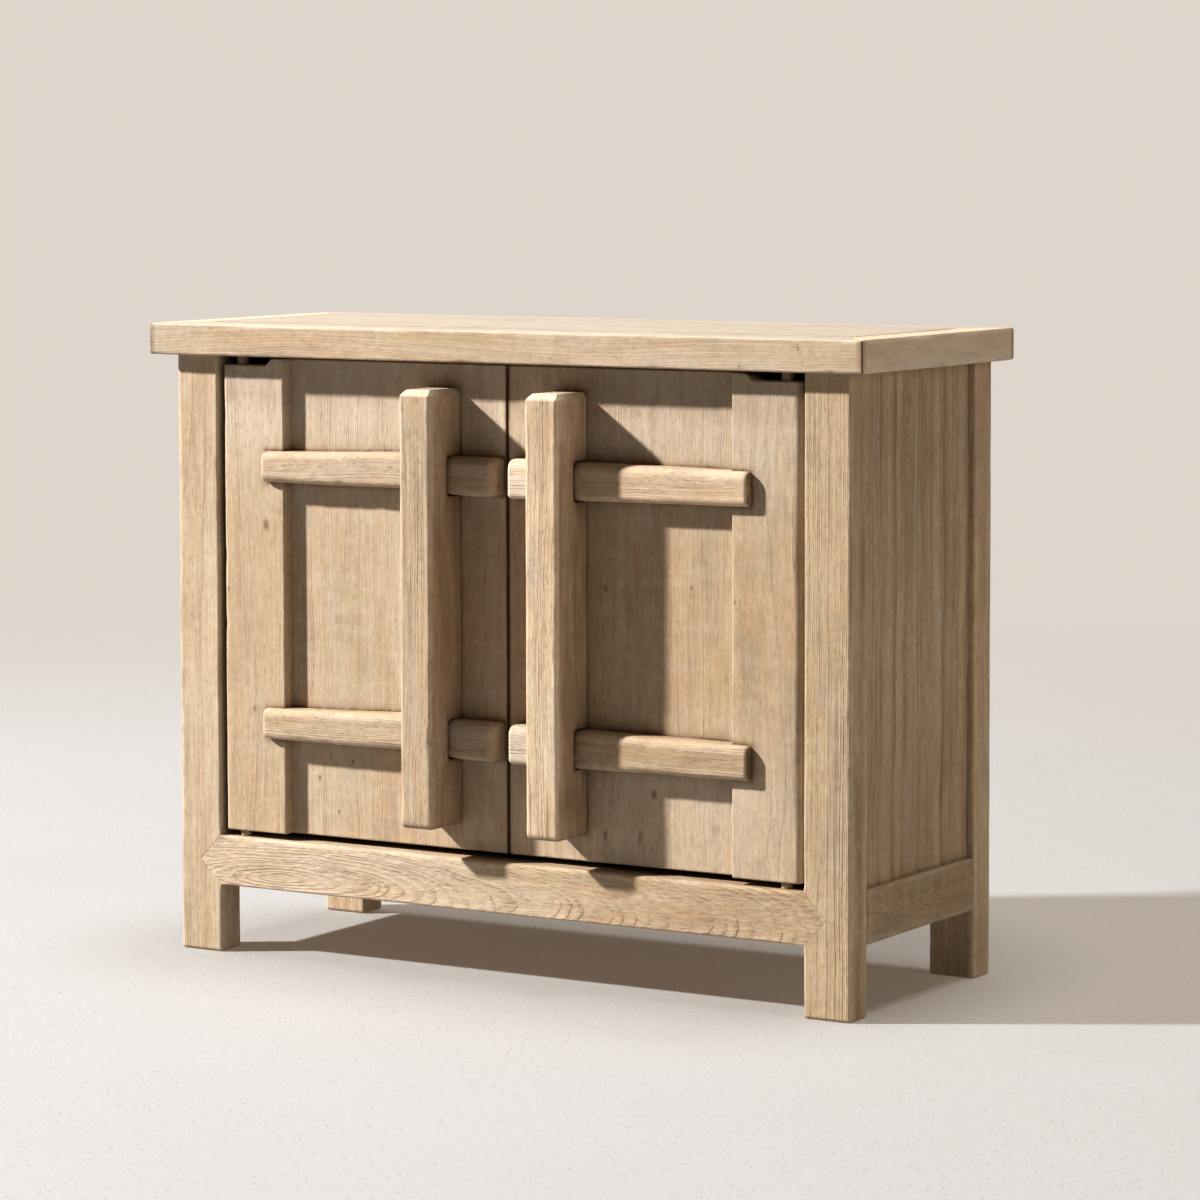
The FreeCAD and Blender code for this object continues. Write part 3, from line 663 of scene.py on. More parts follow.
legLook = {
    "rounds": 0.0035,
    "innerArris": {"left": 0.0025, "right": 0.0030},
    "outerArris": {"left": 0.0055, "right": 0.0035},
    "figures": {"left": (0.6, 1.0, 0.2), "right": (0.95, 1.9, 0.1)},
    "piths": {"left": (-0.05, 0.10), "right": (0.13, 0.02)},
    "woods": {"left": None, "right": "stile_wood"},
    "sideDarkening": (0.03, 0.25),     # on the outer sides, evenly and in streaks
    "endRounds": (0.0042, 0.0006),
    "nicks": 5.0,
    "nickDepth": 0.0022,
    "step": 0.007,
    "tone": 0.3,
    "backTone": 1.2,
}
legTurns = {
    "left": np.array([(1, 0), (0, 1), (1, 0), (0, 1), (-1, 0), (0, -1)], float),
    "right": np.array([(1, 0), (0, 1), (-1, 0), (0, -1), (1, 0), (0, -1)], float),
}
pocket = {"depth": 0.012, "edge": 0.0004, "ease": 0.010, "tight": 0.0005, "gap": 0.0003}
streakLook = {
    "seed": 11,
    "widths": (0.009, 0.07),
    "wander": ((0.004, 9.0, 0.0), (0.002, 31.0, 1.0)),    # how far, how often, and from where
    "dark": 0.30,
    "pale": 0.18,
    "edge": (0.55, 0.003),        # painted shade beside the legs and the rail, and how far from them
    "foot": (0.07, 0.45, 0.30),   # more from this height down to that one
}


def weathering(y, z):
    # Streaks down the sides: a sum of sines across them, which wander a little with height
    wander = sum(far * np.sin(often * z + start) for far, often, start in streakLook["wander"])
    return ripple(streakLook["seed"], y + wander, *streakLook["widths"], 12)


def legSoil(x, y, z):
    even, streaky = legLook["sideDarkening"]
    outside = fade(np.abs(x), legHigh[0] - 0.003, legHigh[0] - 0.001)
    return outside * (even + streaky * np.clip(weathering(y, z), 0, 1))


def pocketReach(height):
    # The pocket's width grows from nothing at the rail's edges to the tip at its middle
    half = (railHigh[2] - railLow[2]) / 2
    middle = (railHigh[2] + railLow[2]) / 2
    return (railTip - legInner) * np.clip(1 - np.abs(height - middle) / half, 0, 1) - pocket["tight"]


def carveFrontLeg(sideName):
    side = sides[sideName]
    node = "leg_front_" + sideName
    low, high = boxOf(node)
    inner, outer = (low[0], high[0]) if side > 0 else (high[0], low[0])
    ledge = low[1] + pocket["depth"]
    full, bend = legLook["rounds"], leastRound

    def section(places):
        mouth = inner + side * pocketReach(places)
        away = np.maximum(np.maximum(railLow[2] - places, places - railHigh[2]), 0)
        near = np.clip(away / pocket["ease"], 0, 1)
        arris = pocket["edge"] + (legLook["innerArris"][sideName] - pocket["edge"]) * near
        # Corners with their rounds. The left leg's start at its outer side and run the other way.
        loop = [(mouth, low[1], arris), (outer, low[1], legLook["outerArris"][sideName]),
                (outer, high[1], full), (inner, high[1], full), (inner, ledge, bend), (mouth, ledge, bend)]
        if side < 0:
            loop = loop[1::-1] + loop[:1:-1]
        table = np.stack([columns(places, *corner) for corner in loop], 1)
        return table[..., :2], table[..., 2]

    look = {**legLook, "figure": legLook["figures"][sideName], "pith": legLook["piths"][sideName],
            "swell": 0.003, "wood": legLook["woods"][sideName]}
    carve(node, 2, (low[2], topLow[2]), section, "case", "case_wood", look, turns=legTurns[sideName],
          extras=np.linspace(railLow[2], railHigh[2], 25), soil=legSoil)


for sideName in sides:
    carveFrontLeg(sideName)
    carveBar("leg_back_" + sideName, 2, "case", "case_wood", {**legLook, "tone": legLook["backTone"]},
             clip=(0.0, topLow[2]))
print("legs carved")


# Rails between the legs. The front one's face runs on into the legs as a point.

frontRailLook = {
    "rounds": 0.0045,
    "backRound": 0.0004,
    "ease": 0.012,            # over which the arris thins out beside the legs
    "tip": 0.012,             # height of its points, as a share
    "endRounds": (0.0003, 0.0003),
    "nicks": 4.0,
    "step": 0.007,
    "grid": 0.009,
    "pith": (-0.022, -0.013),
    "tilt": (0.15, 0.01),
    "tiltFrom": -0.30,
    "swell": 0.002,
    "swellLength": 0.3,
    "tone": 1.1,
    "figure": (1.2, 2.7, 0.25),
    "sun": (0.45, 0.15, -0.25),   # how much, and along x from none to all of it
    "soil": (0.10, 0.05, 0.30),
}
sideRailLook = {
    "rounds": 0.0022,
    "nicks": 4.0,
    "grid": 0.009,
    "swell": 0.012,
    "swellLength": 0.4,
    "tone": -2.2,
    "pith": (0.01, 0.03),
    "figure": (1.8, 1.3, 0.0),
    "wood": "stile_wood",
}


def railShare(label):
    share, start, end = frontRailLook[label]
    return lambda x, y, z: share * fade(x, start, end)


def carveFrontRail():
    low, high = boxOf("front_rail")
    half = (high[2] - low[2]) / 2
    middle = (high[2] + low[2]) / 2
    edge, back = pocket["edge"], frontRailLook["backRound"]

    def section(places):
        beyond = fade(np.abs(places), legInner, railTip)
        height = half * np.maximum(1 - beyond, frontRailLook["tip"])
        deep = np.where(beyond > 0, low[1] + pocket["depth"] - pocket["gap"], high[1])
        near = fade(np.abs(places), legInner, legInner - frontRailLook["ease"])
        arris = np.minimum(edge + (frontRailLook["rounds"] - edge) * near, height * 0.8)
        return (rectangle(low[1], deep, middle - height, middle + height),
                columns(places, arris * 0.7, back, back, arris))

    shares = np.linspace(0.1, 0.97, 12)
    jumps = [sign * (legInner + offset) for sign in (-1, 1) for offset in (-hair, hair)]
    tips = [sign * (legInner + (railTip - legInner) * part) for sign in (-1, 1) for part in shares]
    carve("front_rail", 0, (low[0], high[0]), section, "case", "case_wood", frontRailLook,
          extras=np.array(jumps + tips), soil=railShare("soil"), sun=railShare("sun"))


carveFrontRail()
carveBar("back_rail", 0, "case", "case_wood", sideRailLook, clip=(-legInner, legInner))
for sideName in sides:
    carveBar("side_rail_" + sideName, 1, "case", "case_wood", sideRailLook, clip=(legHigh[1], backLegFront))
print("rails carved")


# Thin boards of the sides and the back

sideBoardLook = {
    "rounds": 0.0004,
    "nicks": 0.0,
    "wave": 0.0002,
    "grid": 0.0045,
    "step": 0.012,
    "swell": 0.004,
    "tone": 0.4,
    "figure": (1.8, 1.2, 0.0),
    "sidePad": (0, 1, 0, 1),
    "grow": (0.0, 0.0004, 0.0),
}
backBoardLook = {
    "rounds": 0.0009,
    "nicks": 1.0,
    "grid": 0.020,
    "step": 0.016,
    "sidePad": (1, 0, 1, 0),
    "grow": (0.0005, 0.0, 0.0),
}


def sideDarkening(x, y, z):
    # Weathering streaks, darker towards the foot, and painted shade in the recess beside the legs and along
    # the rail
    edge, reach = streakLook["edge"]
    foot, start, end = streakLook["foot"]
    corner = np.minimum(np.minimum(backLegFront - y, y - legHigh[1]), z - railHigh[2])
    dark = streakLook["dark"] * np.clip(weathering(y, z), 0, 1) + foot * fade(z, start, end)
    return np.clip(dark + edge * np.exp(-np.maximum(corner, 0) / reach), 0, mostDarkness)


def sideSun(x, y, z):
    return streakLook["pale"] * np.clip(-weathering(y, z), 0, 1)


for sideName in sides:
    for number in (1, 2, 3):
        carveBar("side_board_%s_%d" % (sideName, number), 2, "case", "case_wood", sideBoardLook,
                 soil=sideDarkening, sun=sideSun)
for number in (1, 2, 3, 4):
    carveBar("back_board_%d" % number, 2, "case", "inner_wood", backBoardLook)
print("panels carved")


# Top. Four members meet at mitres round three boards that lie in their rabbet.

topLook = {
    "rounds": 0.0030,
    "lipRound": 0.0007,
    "footRound": 0.0010,      # at the inner edge below
    "gap": 0.0002,            # round the boards
    "endRounds": (0.0008, 0.0008),
    "nicks": 5.0,
    "nickDepth": 0.0025,
    "step": 0.008,
    "pith": (0.02, -0.09),
    "tone": 0.6,
    "figure": (0.35, 0.8, 0.0),
    "sun": 0.90,
    "edgeSun": 0.12,
    "cornerSun": (0.55, 0.05),    # the front is pale at its left end, this far
    "joint": (0.55, 0.0022),      # dirt, and how far it reaches
    "corner": (0.60, 0.0035),
    "arris": 0.22,
}
topEndLook = {**topLook, "tone": 4.2, "pith": (-0.09, 0.03)}
topEndSun = (0.50, 0.28)          # the end members are a little darker above
topBoardLook = {
    "rounds": 0.0009,
    "nicks": 0.0,
    "wave": 0.00012,
    "grid": 0.014,
    "step": 0.012,
    "tone": 0.3,
    "pith": (0.01, -0.11),
    "figure": (0.7, 0.8, 0.0),
}
endLow, endHigh = boxOf("top_right_member")
boardLow, boardHigh = boxOf("top_board_1")
backBoardEdge = boxOf("top_board_3")[1][1]
topBackEdge = boxOf("top_back_member")[1][1]
mitreSlope = (endHigh[0] - endLow[0]) / (topHigh[1] - topLow[1])


def topSun(share, sideShare=0.0):
    # The upper face is bleached most
    corner, reach = topLook["cornerSun"]

    def sun(x, y, z):
        above = share * fade(z, topHigh[2] - 0.003, topHigh[2] - 0.0005)
        beside = sideShare * fade(np.abs(x), endHigh[0] - 0.003, endHigh[0] - 0.0005)
        leftEnd = corner * np.exp(-(x - topLow[0]) / reach)
        return np.clip(np.maximum(above, topLook["edgeSun"] + beside + leftEnd), 0, 1)

    return sun


def topSoil(x, y, z):
    # Dirt lies in the joints round the boards, and darkens the corners where two members meet
    jointDirt, jointReach = topLook["joint"]
    cornerDirt, cornerReach = topLook["corner"]
    pastX = np.abs(x) - boardHigh[0]
    pastY = np.maximum(boardLow[1] - y, y - backBoardEdge)
    nearY = np.minimum(np.abs(y - boardLow[1]), np.abs(y - backBoardEdge))
    joint = np.minimum(np.hypot(pastX, np.maximum(pastY, 0)), np.hypot(nearY, np.maximum(pastX, 0)))
    corner = np.hypot(topHigh[0] - np.abs(x), np.minimum(np.abs(y - topLow[1]), np.abs(y - topBackEdge)))
    arris = fade(np.abs(x), topHigh[0] - 0.003, topHigh[0] - 0.001) * fade(z, topHigh[2] - 0.003, topHigh[2])
    darkness = (jointDirt * np.exp(-(joint / jointReach) ** 2) + cornerDirt * np.exp(-(corner / cornerReach) ** 2)
            + topLook["arris"] * arris)
    return np.clip(darkness, 0, mostDarkness)


def memberLoop(name, low, high):
    # Corners with their rounds, and the outer edge. The end members' outlines have up before across.
    ledge, bottom, top = boardLow[2] - topLook["gap"], low[2], high[2]
    edge, lip, bend, foot = topLook["rounds"], topLook["lipRound"], leastRound, topLook["footRound"]
    if name == "front":
        inner = boardLow[1] - topLook["gap"]
        return low[1], [(low[1], bottom, edge), (high[1], bottom, foot), (high[1], ledge, lip),
                        (inner, ledge, bend), (inner, top, lip), (low[1], top, edge)]
    if name == "back":
        inner = backBoardEdge + topLook["gap"]
        return high[1], [(low[1], bottom, foot), (high[1], bottom, edge), (high[1], top, edge),
                         (inner, top, lip), (inner, ledge, bend), (low[1], ledge, lip)]
    inner = sides[name] * (boardHigh[0] + topLook["gap"])
    if name == "right":
        return high[0], [(bottom, low[0], foot), (ledge, low[0], lip), (ledge, inner, bend),
                         (top, inner, lip), (top, high[0], edge), (bottom, high[0], edge)]
    return low[0], [(bottom, low[0], edge), (top, low[0], edge), (top, inner, lip),
                    (ledge, inner, bend), (ledge, high[0], lip), (bottom, high[0], foot)]


def carveMember(name):
    node = "top_%s_member" % name
    low, high = boxOf(node)
    axis = 1 if name in sides else 0
    outer, loop = memberLoop(name, low, high)
    loop = np.array(loop)
    corners, rounds = loop[None, :, :2], loop[None, :, 2]
    turns = np.sign(np.roll(corners[0], -1, axis=0) - corners[0])
    slope = 1 / mitreSlope if axis else mitreSlope

    def mitre(p, q):
        return np.abs((q if axis else p) - outer) * slope

    carve(node, axis, (low[axis], high[axis]), lambda places: (corners, rounds), "case", "top_wood",
          topEndLook if axis else topLook, turns=turns, low=lambda p, q: low[axis] + mitre(p, q),
          high=lambda p, q: high[axis] - mitre(p, q), soil=topSoil,
          sun=topSun(*topEndSun) if axis else topSun(topLook["sun"]))


for rowName in ("front", "back"):
    carveMember(rowName)
for sideName in sides:
    carveMember(sideName)
    carveBar("top_cross_batten_" + sideName, 1, "case", "inner_wood", {"rounds": 0.0012})
for number in (1, 2, 3):
    carveBar("top_board_%d" % number, 0, "case", "top_wood", topBoardLook, soil=topSoil,
             sun=topSun(topLook["sun"]))
print("top carved")


# Floor, shelf and door stop

insideLook = {"rounds": 0.0014, "nicks": 2.0, "grid": 0.016, "step": 0.014}
for number in (1, 2, 3):
    carveBar("floor_board_%d" % number, 0, "case", "inner_wood", insideLook)
for rowName in ("front", "back"):
    carveBar("shelf_board_" + rowName, 0, "case", "inner_wood", insideLook)
for name in ("floor_bearer_left", "floor_bearer_right", "floor_bearer_centre", "shelf_bearer_left",
             "shelf_bearer_right"):
    carveBar(name, 1, "case", "inner_wood", insideLook)
for name in ("shelf_bearer_back", "door_stop"):
    carveBar(name, 0, "case", "inner_wood", insideLook)
print("inside carved")


# Doors

doorLook = {
    "stileRounds": {"left": (0.0045, 0.0018), "right": (0.0095, 0.0018)},    # by the leg in front, and others
    "stilePlay": {"left": 0.0045, "right": 0.0030},   # trimmed off beside the leg
    "notch": (0.0085, 0.078),         # depth and length, at the stile's upper end
    "tones": {
        "left_door_stile": 0.1, "left_door_board": 0.4, "left_door_handle": -0.2,
        "left_door_batten_upper": 0.1, "left_door_batten_lower": 0.0,
        "right_door_stile": 0.0, "right_door_board": 0.2, "right_door_handle": 2.2,
        "right_door_batten_upper": 1.7, "right_door_batten_lower": -0.4,
    },
    "boardWood": {"left": "board_wood", "right": "stile_wood"},
    "sun": (0.57, 0.17, 0.76),        # bleached from this height, over this much, up to this share
    "lowSun": {"left": (0.0, 0.30), "right": (0.40, 0.30)},    # and below this height
    "scrubbed": {"left": (0.10, 0.45), "right": (0.0, 0.55)},  # all over, and a little way off the battens
    "scrubReach": (0.028, 0.007),
    "nookClear": {"left": 1.0, "right": 0.0},         # less dirt and painted shade between the handle and the other door
    "paintedTopShade": (0.09, 0.690, 0.710),                 # painted shade in the top's shadow band, from none to all of it
    "battenRounds": (0.0105, 0.0010),                 # at the front and at the back
    "battenTip": 42 / 49,             # height at the outer end against that at the inner end
    "thinned": {"left": 0.0016, "right": 0.0},        # more of the taper lies below
    "bow": {"left": 0.0038, "right": 0.0},            # rise of the battens beside the handle
    "bowReach": (0.12, 0.03),                         # outwards and inwards from the handle's edge
    "battenEnds": {"left": (0.0055, 0.0120), "right": (0.0055, 0.0045)},
    "battenPull": {"left": (0.5, 0.0, 0.5, 1.0), "right": (0.7, 0.0, 0.7, 1.0)},
    "battenSun": {
        "left_door_batten_upper": 0.35, "left_door_batten_lower": 0.20,
        "right_door_batten_upper": 0.20, "right_door_batten_lower": 0.0,
    },
    "stubSun": {"left": 0.0, "right": 0.90},          # on the battens' ends between the handles
    "stubDirt": {"left": 0.04, "right": 0.0},
    "endGrain": 0.60,                 # dirt on the battens' outer ends
    "topSun": 0.80,                   # on the handles' upper ends
    "handleSun": 0.14,
    "flankDirtAndShade": {"left": 0.05, "right": 0.30},           # dirt and painted shade on the handles' flanks
    "flankTop": {"left": 1.0, "right": 0.62},         # which are clear of it above this height
    "stileGap": 0.0003,
    "slotRound": 0.0070,
    "slotGap": 0.0004,
}
# Dirt, and painted shade: how much, and how far it reaches from what is joined on
doorDarkeningKinds = {
    "contact": (0.45, 0.0016),
    "handleContact": (0.27, 0.0016),
    "above": (0.15, 0.008),
    "batten": (0.20, 0.006),
    "handle": (0.06, 0.009),
    "corner": (0.14, 0.025),          # where a batten meets the handle
    "stub": (0.04, 0.020),
    "meetingGapShade": (0.80, 0.0012),        # painted shade of the gap, along the edges where the doors meet
    "joint": (0.22, 0.010),           # on the handle, where a batten passes through
    "jointLine": (0.40, 0.002),
    "foot": (0.50, 0.0030),           # at the handle's lower end
    "beside": (0.14, 0.03),           # on a batten, beside the handle
    "besideLine": (0.40, 0.003),
}
joinSteps = (0.0, 0.0015, 0.0035, 0.0070)     # places for finer dirt beside the edge of what is joined on
boardLook = {
    "rounds": 0.0001,
    "endRounds": (0.0012, 0.0012),
    "nicks": 0.0,
    "grid": 0.0075,
    "step": 0.0075,
    "swell": 0.004,
    "sidePad": (1, 0, 1, 0),
    "figure": (0.6, 0.9, 0.0),
    "grow": (0.0002, 0.0, 0.0),
}
stileLook = {
    "wood": "stile_wood",
    "endRounds": (0.0022, 0.0022),
    "nicks": 4.0,
    "nickDepth": 0.0020,
    "grid": 0.009,
    "step": 0.007,
    "wave": 0.00020,
    "figure": (0.6, 0.9, 0.0),
}
battenLook = {
    "nicks": 6.0,
    "nickDepth": 0.0022,
    "wave": 0.0004,
    "grid": 0.007,
    "step": 0.006,
    "pith": (0.03, 0.10),
    "figure": (0.8, 1.2, 0.0),
}
handleLook = {
    "rounds": 0.0040,
    "backRounds": 0.0008,
    "endRounds": (0.0080, 0.0075),
    "chamfered": (False, True),
    "endPull": (1.0, 0.50, 0.0, 0.9),
    "nicks": 6.0,
    "nickDepth": 0.0025,
    "wave": 0.0003,
    "grid": 0.007,
    "step": 0.006,
    "pith": (0.11, 0.01),
    "figure": (0.8, 1.6, 0.0),
}
levels = ("upper", "lower")
handleBoxes = {sideName: boxOf(sideName + "_door_handle") for sideName in sides}
battenBoxes = {(sideName, level): boxOf("%s_door_batten_%s" % (sideName, level))
               for sideName in sides for level in levels}
(meetingEdge, _, _), (_, doorBack, _) = boxOf("right_door_board_inner")


def spanOf(box):
    # How far from the cabinet's middle a box starts and ends
    return sorted(abs(corner[0]) for corner in box)


def battenShape(sideName, level, x):
    # Half height and lift at a place along it: it tapers outwards, and may bow up beside the handle
    low, high = battenBoxes[sideName, level]
    part = fade(sides[sideName] * x, *spanOf((low, high)))
    away = sides[sideName] * x - spanOf(handleBoxes[sideName])[1]
    outwards, inwards = doorLook["bowReach"]
    bow = doorLook["bow"][sideName] * np.exp(-(away / np.where(away > 0, outwards, inwards)) ** 2)
    thin = doorLook["thinned"][sideName] * part
    return (high[2] - low[2]) / 2 * (1 - part * (1 - doorLook["battenTip"])) - thin, bow + thin, part


def nearness(x, z, reach, box, heights=None):
    # 1 at a rectangle's edge and inside it, falling off outside within the reach
    bottom, top = heights or (box[0][2], box[1][2])
    dx = np.maximum(np.maximum(box[0][0] - x, x - box[1][0]), 0)
    dz = np.maximum(np.maximum(bottom - z, z - top), 0)
    return np.exp(-np.hypot(dx, dz) / reach)


def battenOutline(sideName, level, x):
    # Its box, and the heights of its lower and upper edge
    low, high = box = battenBoxes[sideName, level]
    half, lift, _ = battenShape(sideName, level, x)
    middle = (low[2] + high[2]) / 2 + lift
    return box, (middle - half, middle + half)


def joinPlaces(sideName, axis):
    # Places along an axis, close together just outside the battens' and the handle's edges
    places = []
    for low, high in [battenBoxes[sideName, level] for level in levels] + [handleBoxes[sideName]]:
        places += [low[axis] - step for step in joinSteps] + [high[axis] + step for step in joinSteps]
    return np.array(places)


def doorDarkening(sideName):
    handle = handleBoxes[sideName]
    handleInner = spanOf(handle)[0]
    aboveHandle = (handle[0] + [0, 0, handle[1][2] - handle[0][2]], handle[1])
    boxes = [battenBoxes[sideName, level] for level in levels]
    stubs = []
    for low, high in boxes:
        # The short piece of a batten between the handle and the other door
        inner, outer = (handle[1][0], high[0]) if sideName == "left" else (low[0], handle[0][0])
        stubs.append(((inner, 0, low[2] + 0.01), (outer, 0, high[2] + 0.004)))
    gapShadeShare, gapShadeReach = doorDarkeningKinds["meetingGapShade"]
    topShadeShare, topShadeStart, topShadeEnd = doorLook["paintedTopShade"]

    def soil(x, y, z):
        def beside(label, *outlines):
            share, reach = doorDarkeningKinds[label]
            return share * sum(nearness(x, z, reach, *outline) for outline in outlines)

        battens = [battenOutline(sideName, level, x) for level in levels]
        corner = beside("corner", *zip(boxes)) * nearness(x, z, doorDarkeningKinds["corner"][1], handle)
        # Painted shade along the edges where the doors meet, standing in for the dark gap between them
        meetingGapShade = gapShadeShare * np.exp(-((np.abs(x) - meetingEdge) / gapShadeReach) ** 2)
        # Painted shade on the band of the doors that the top's overhang shades
        topShadeBand = topShadeShare * fade(z, topShadeStart, topShadeEnd)
        clear = 1 - doorLook["nookClear"][sideName] * fade(np.abs(x), handleInner, handleInner - 0.004)
        darkness = (beside("contact", *battens) + beside("handleContact", [handle]) + meetingGapShade
                + beside("above", [aboveHandle])
                + clear * (beside("batten", *battens) + beside("handle", [handle]) + corner
                           + beside("stub", *zip(stubs)) + topShadeBand))
        return np.clip(darkness, 0, mostDarkness) * fade(y, doorBack, doorBack - 0.006)

    return soil


def doorSun(sideName):
    # Bleached towards the top, and scrubbed pale a little way off the battens
    start, over, share = doorLook["sun"]
    base, halo = doorLook["scrubbed"][sideName]
    far, close = doorLook["scrubReach"]
    foot, footHeight = doorLook["lowSun"][sideName]

    def sun(x, y, z):
        battens = [battenOutline(sideName, level, x) for level in levels]
        near = sum(nearness(x, z, far, *batten) * (1 - nearness(x, z, close, *batten)) for batten in battens)
        below = foot * fade(z, footHeight, footHeight - 0.04)
        return np.clip(base + share * fade(z, start, start + over) + halo * near + below, 0, 1)

    return sun


def handleDarkening(sideName):
    # Dirt and painted shade on the flanks, and dirt most of all where a batten passes through
    front, bottom = handleBoxes[sideName][0][1:]
    boxes = [battenBoxes[sideName, level] for level in levels]
    battenFront = boxes[0][0][1]
    flankTop = doorLook["flankTop"][sideName]
    (share, reach), (lineShare, lineReach) = doorDarkeningKinds["joint"], doorDarkeningKinds["jointLine"]
    foot, footReach = doorDarkeningKinds["foot"]

    def soil(x, y, z):
        joint = sum(share * nearness(x, z, reach, box) + lineShare * nearness(x, z, lineReach, box)
                    for box in boxes) * fade(y, battenFront - 0.004, battenFront)
        flankDirtAndShade = doorLook["flankDirtAndShade"][sideName] * fade(y, front + 0.004, front + 0.010)
        clean = fade(z, flankTop, flankTop + 0.06)
        return np.clip(joint + flankDirtAndShade * (1 - clean) + foot * np.exp(-(z - bottom) / footReach), 0, mostDarkness)

    return soil


def handleSun(x, y, z):
    # Palest on top, where the end grain has dried
    low, high = handleBoxes["left"]
    above = doorLook["topSun"] * fade(z, high[2] - 0.009, high[2] - 0.005)
    return np.maximum(doorLook["handleSun"] * fade(y, low[1] + 0.008, low[1] + 0.004), above)


def battenSun(sideName, level):
    # The right door's battens are palest on their stubs, between the doors
    even = doorLook["battenSun"]["%s_door_batten_%s" % (sideName, level)]
    inner = spanOf(handleBoxes[sideName])[0]

    def sun(x, y, z):
        stub = doorLook["stubSun"][sideName] * fade(np.abs(x), inner + 0.002, inner - 0.002)
        return np.maximum(even, stub)

    return sun


def battenSoil(sideName):
    handle = handleBoxes[sideName]
    inner, outer = spanOf(handle)
    tip = spanOf(battenBoxes[sideName, "upper"])[1]
    (share, reach), (lineShare, lineReach) = doorDarkeningKinds["beside"], doorDarkeningKinds["besideLine"]

    def soil(x, y, z):
        away = np.abs(x)
        stub = doorLook["stubDirt"][sideName] * fade(away, inner + 0.006, inner)
        beside = np.where(away > outer - 0.001, share * np.exp(-(away - outer) / reach), 0)
        end = doorLook["endGrain"] * fade(away, tip - 0.002, tip - 0.0005)
        return np.clip(stub + beside + end + lineShare * nearness(x, z, lineReach, handle), 0, mostDarkness)

    return soil


def carveStile(sideName):
    side = sides[sideName]
    node = sideName + "_door_stile"
    low, high = boxOf(node)
    play = doorLook["stilePlay"][sideName]
    low[0], high[0] = (low[0], high[0] - play) if side > 0 else (low[0] + play, high[0])
    depth, length = doorLook["notch"]
    inner, outer = spanOf((low, high))
    notchEnd = outer - length + play
    big, small = doorLook["stileRounds"][sideName]

    def section(places):
        rounds = [small, big, small, small] if side > 0 else [big, small, small, small]
        return rectangle(low[0], high[0], low[1], high[1]), np.array([rounds])

    def top(p, q):
        # Full height next to the door's boards, then a short slope down to the notch
        return high[2] - np.clip(side * p - notchEnd, 0, depth)

    # Grid lines at the slope and beside what is joined on, from the front's start and from the back's
    beside = [side * place for place in joinPlaces(sideName, 0) if low[0] < place < high[0]]
    fromInner = [place - inner for place in [notchEnd, notchEnd + depth] + beside]
    fromOuter = [outer - inner - place for place in fromInner]
    forward, backward = (fromInner, fromOuter) if side > 0 else (fromOuter, fromInner)
    carve(node, 2, (low[2], high[2]), section, sideName + "_door", "door_wood",
          {**stileLook, "tone": doorLook["tones"][node]}, high=top, kinks={0: forward, 2: backward},
          extras=joinPlaces(sideName, 2), soil=doorDarkening(sideName), sun=doorSun(sideName))


def carveBoards(sideName):
    # The two boards of a door come from one log
    body = sideName + "_door"
    look = {**boardLook, "log": body + "_board", "tone": doorLook["tones"][body + "_board"],
            "wood": doorLook["boardWood"][sideName]}
    for name in ("inner", "outer"):
        node = "%s_board_%s" % (body, name)
        low, high = boxOf(node)
        kinks = {0: [place - low[0] for place in joinPlaces(sideName, 0) if low[0] < place < high[0]]}
        carveBar(node, 2, body, "door_wood", look, kinks=kinks, extras=joinPlaces(sideName, 2),
                 soil=doorDarkening(sideName), sun=doorSun(sideName))


def carveDoorBatten(sideName, level):
    side = sides[sideName]
    node = "%s_door_batten_%s" % (sideName, level)
    low, high = battenBoxes[sideName, level]
    middle = (low[2] + high[2]) / 2
    stile = boxOf(sideName + "_door_stile")
    jump = spanOf(stile)[0] - doorLook["stileGap"]
    big, small = doorLook["battenRounds"]

    def section(places):
        # Over the stile, the back lies on the stile's face
        half, lift, part = battenShape(sideName, level, places)
        back = np.where(side * places > jump, stile[0][1], high[1])
        return (rectangle(low[1], back, middle - half + lift, middle + half + lift),
                columns(places, big * (0.75 + 0.1 * part), small, small, big * (1.10 - 0.2 * part)))

    handleLow, handleHigh = handleBoxes[sideName]
    extras = [side * jump - hair, side * jump + hair]
    extras += [edge + sign * step for step in joinSteps
               for edge, sign in ((handleLow[0], -1), (handleHigh[0], 1))]
    look = {**battenLook, "tone": doorLook["tones"][node], "endRounds": doorLook["battenEnds"][sideName],
            "endPull": doorLook["battenPull"][sideName]}
    carve(node, 0, (low[0], high[0]), section, sideName + "_door", "door_wood", look,
          extras=np.array(extras), soil=battenSoil(sideName), sun=battenSun(sideName, level))


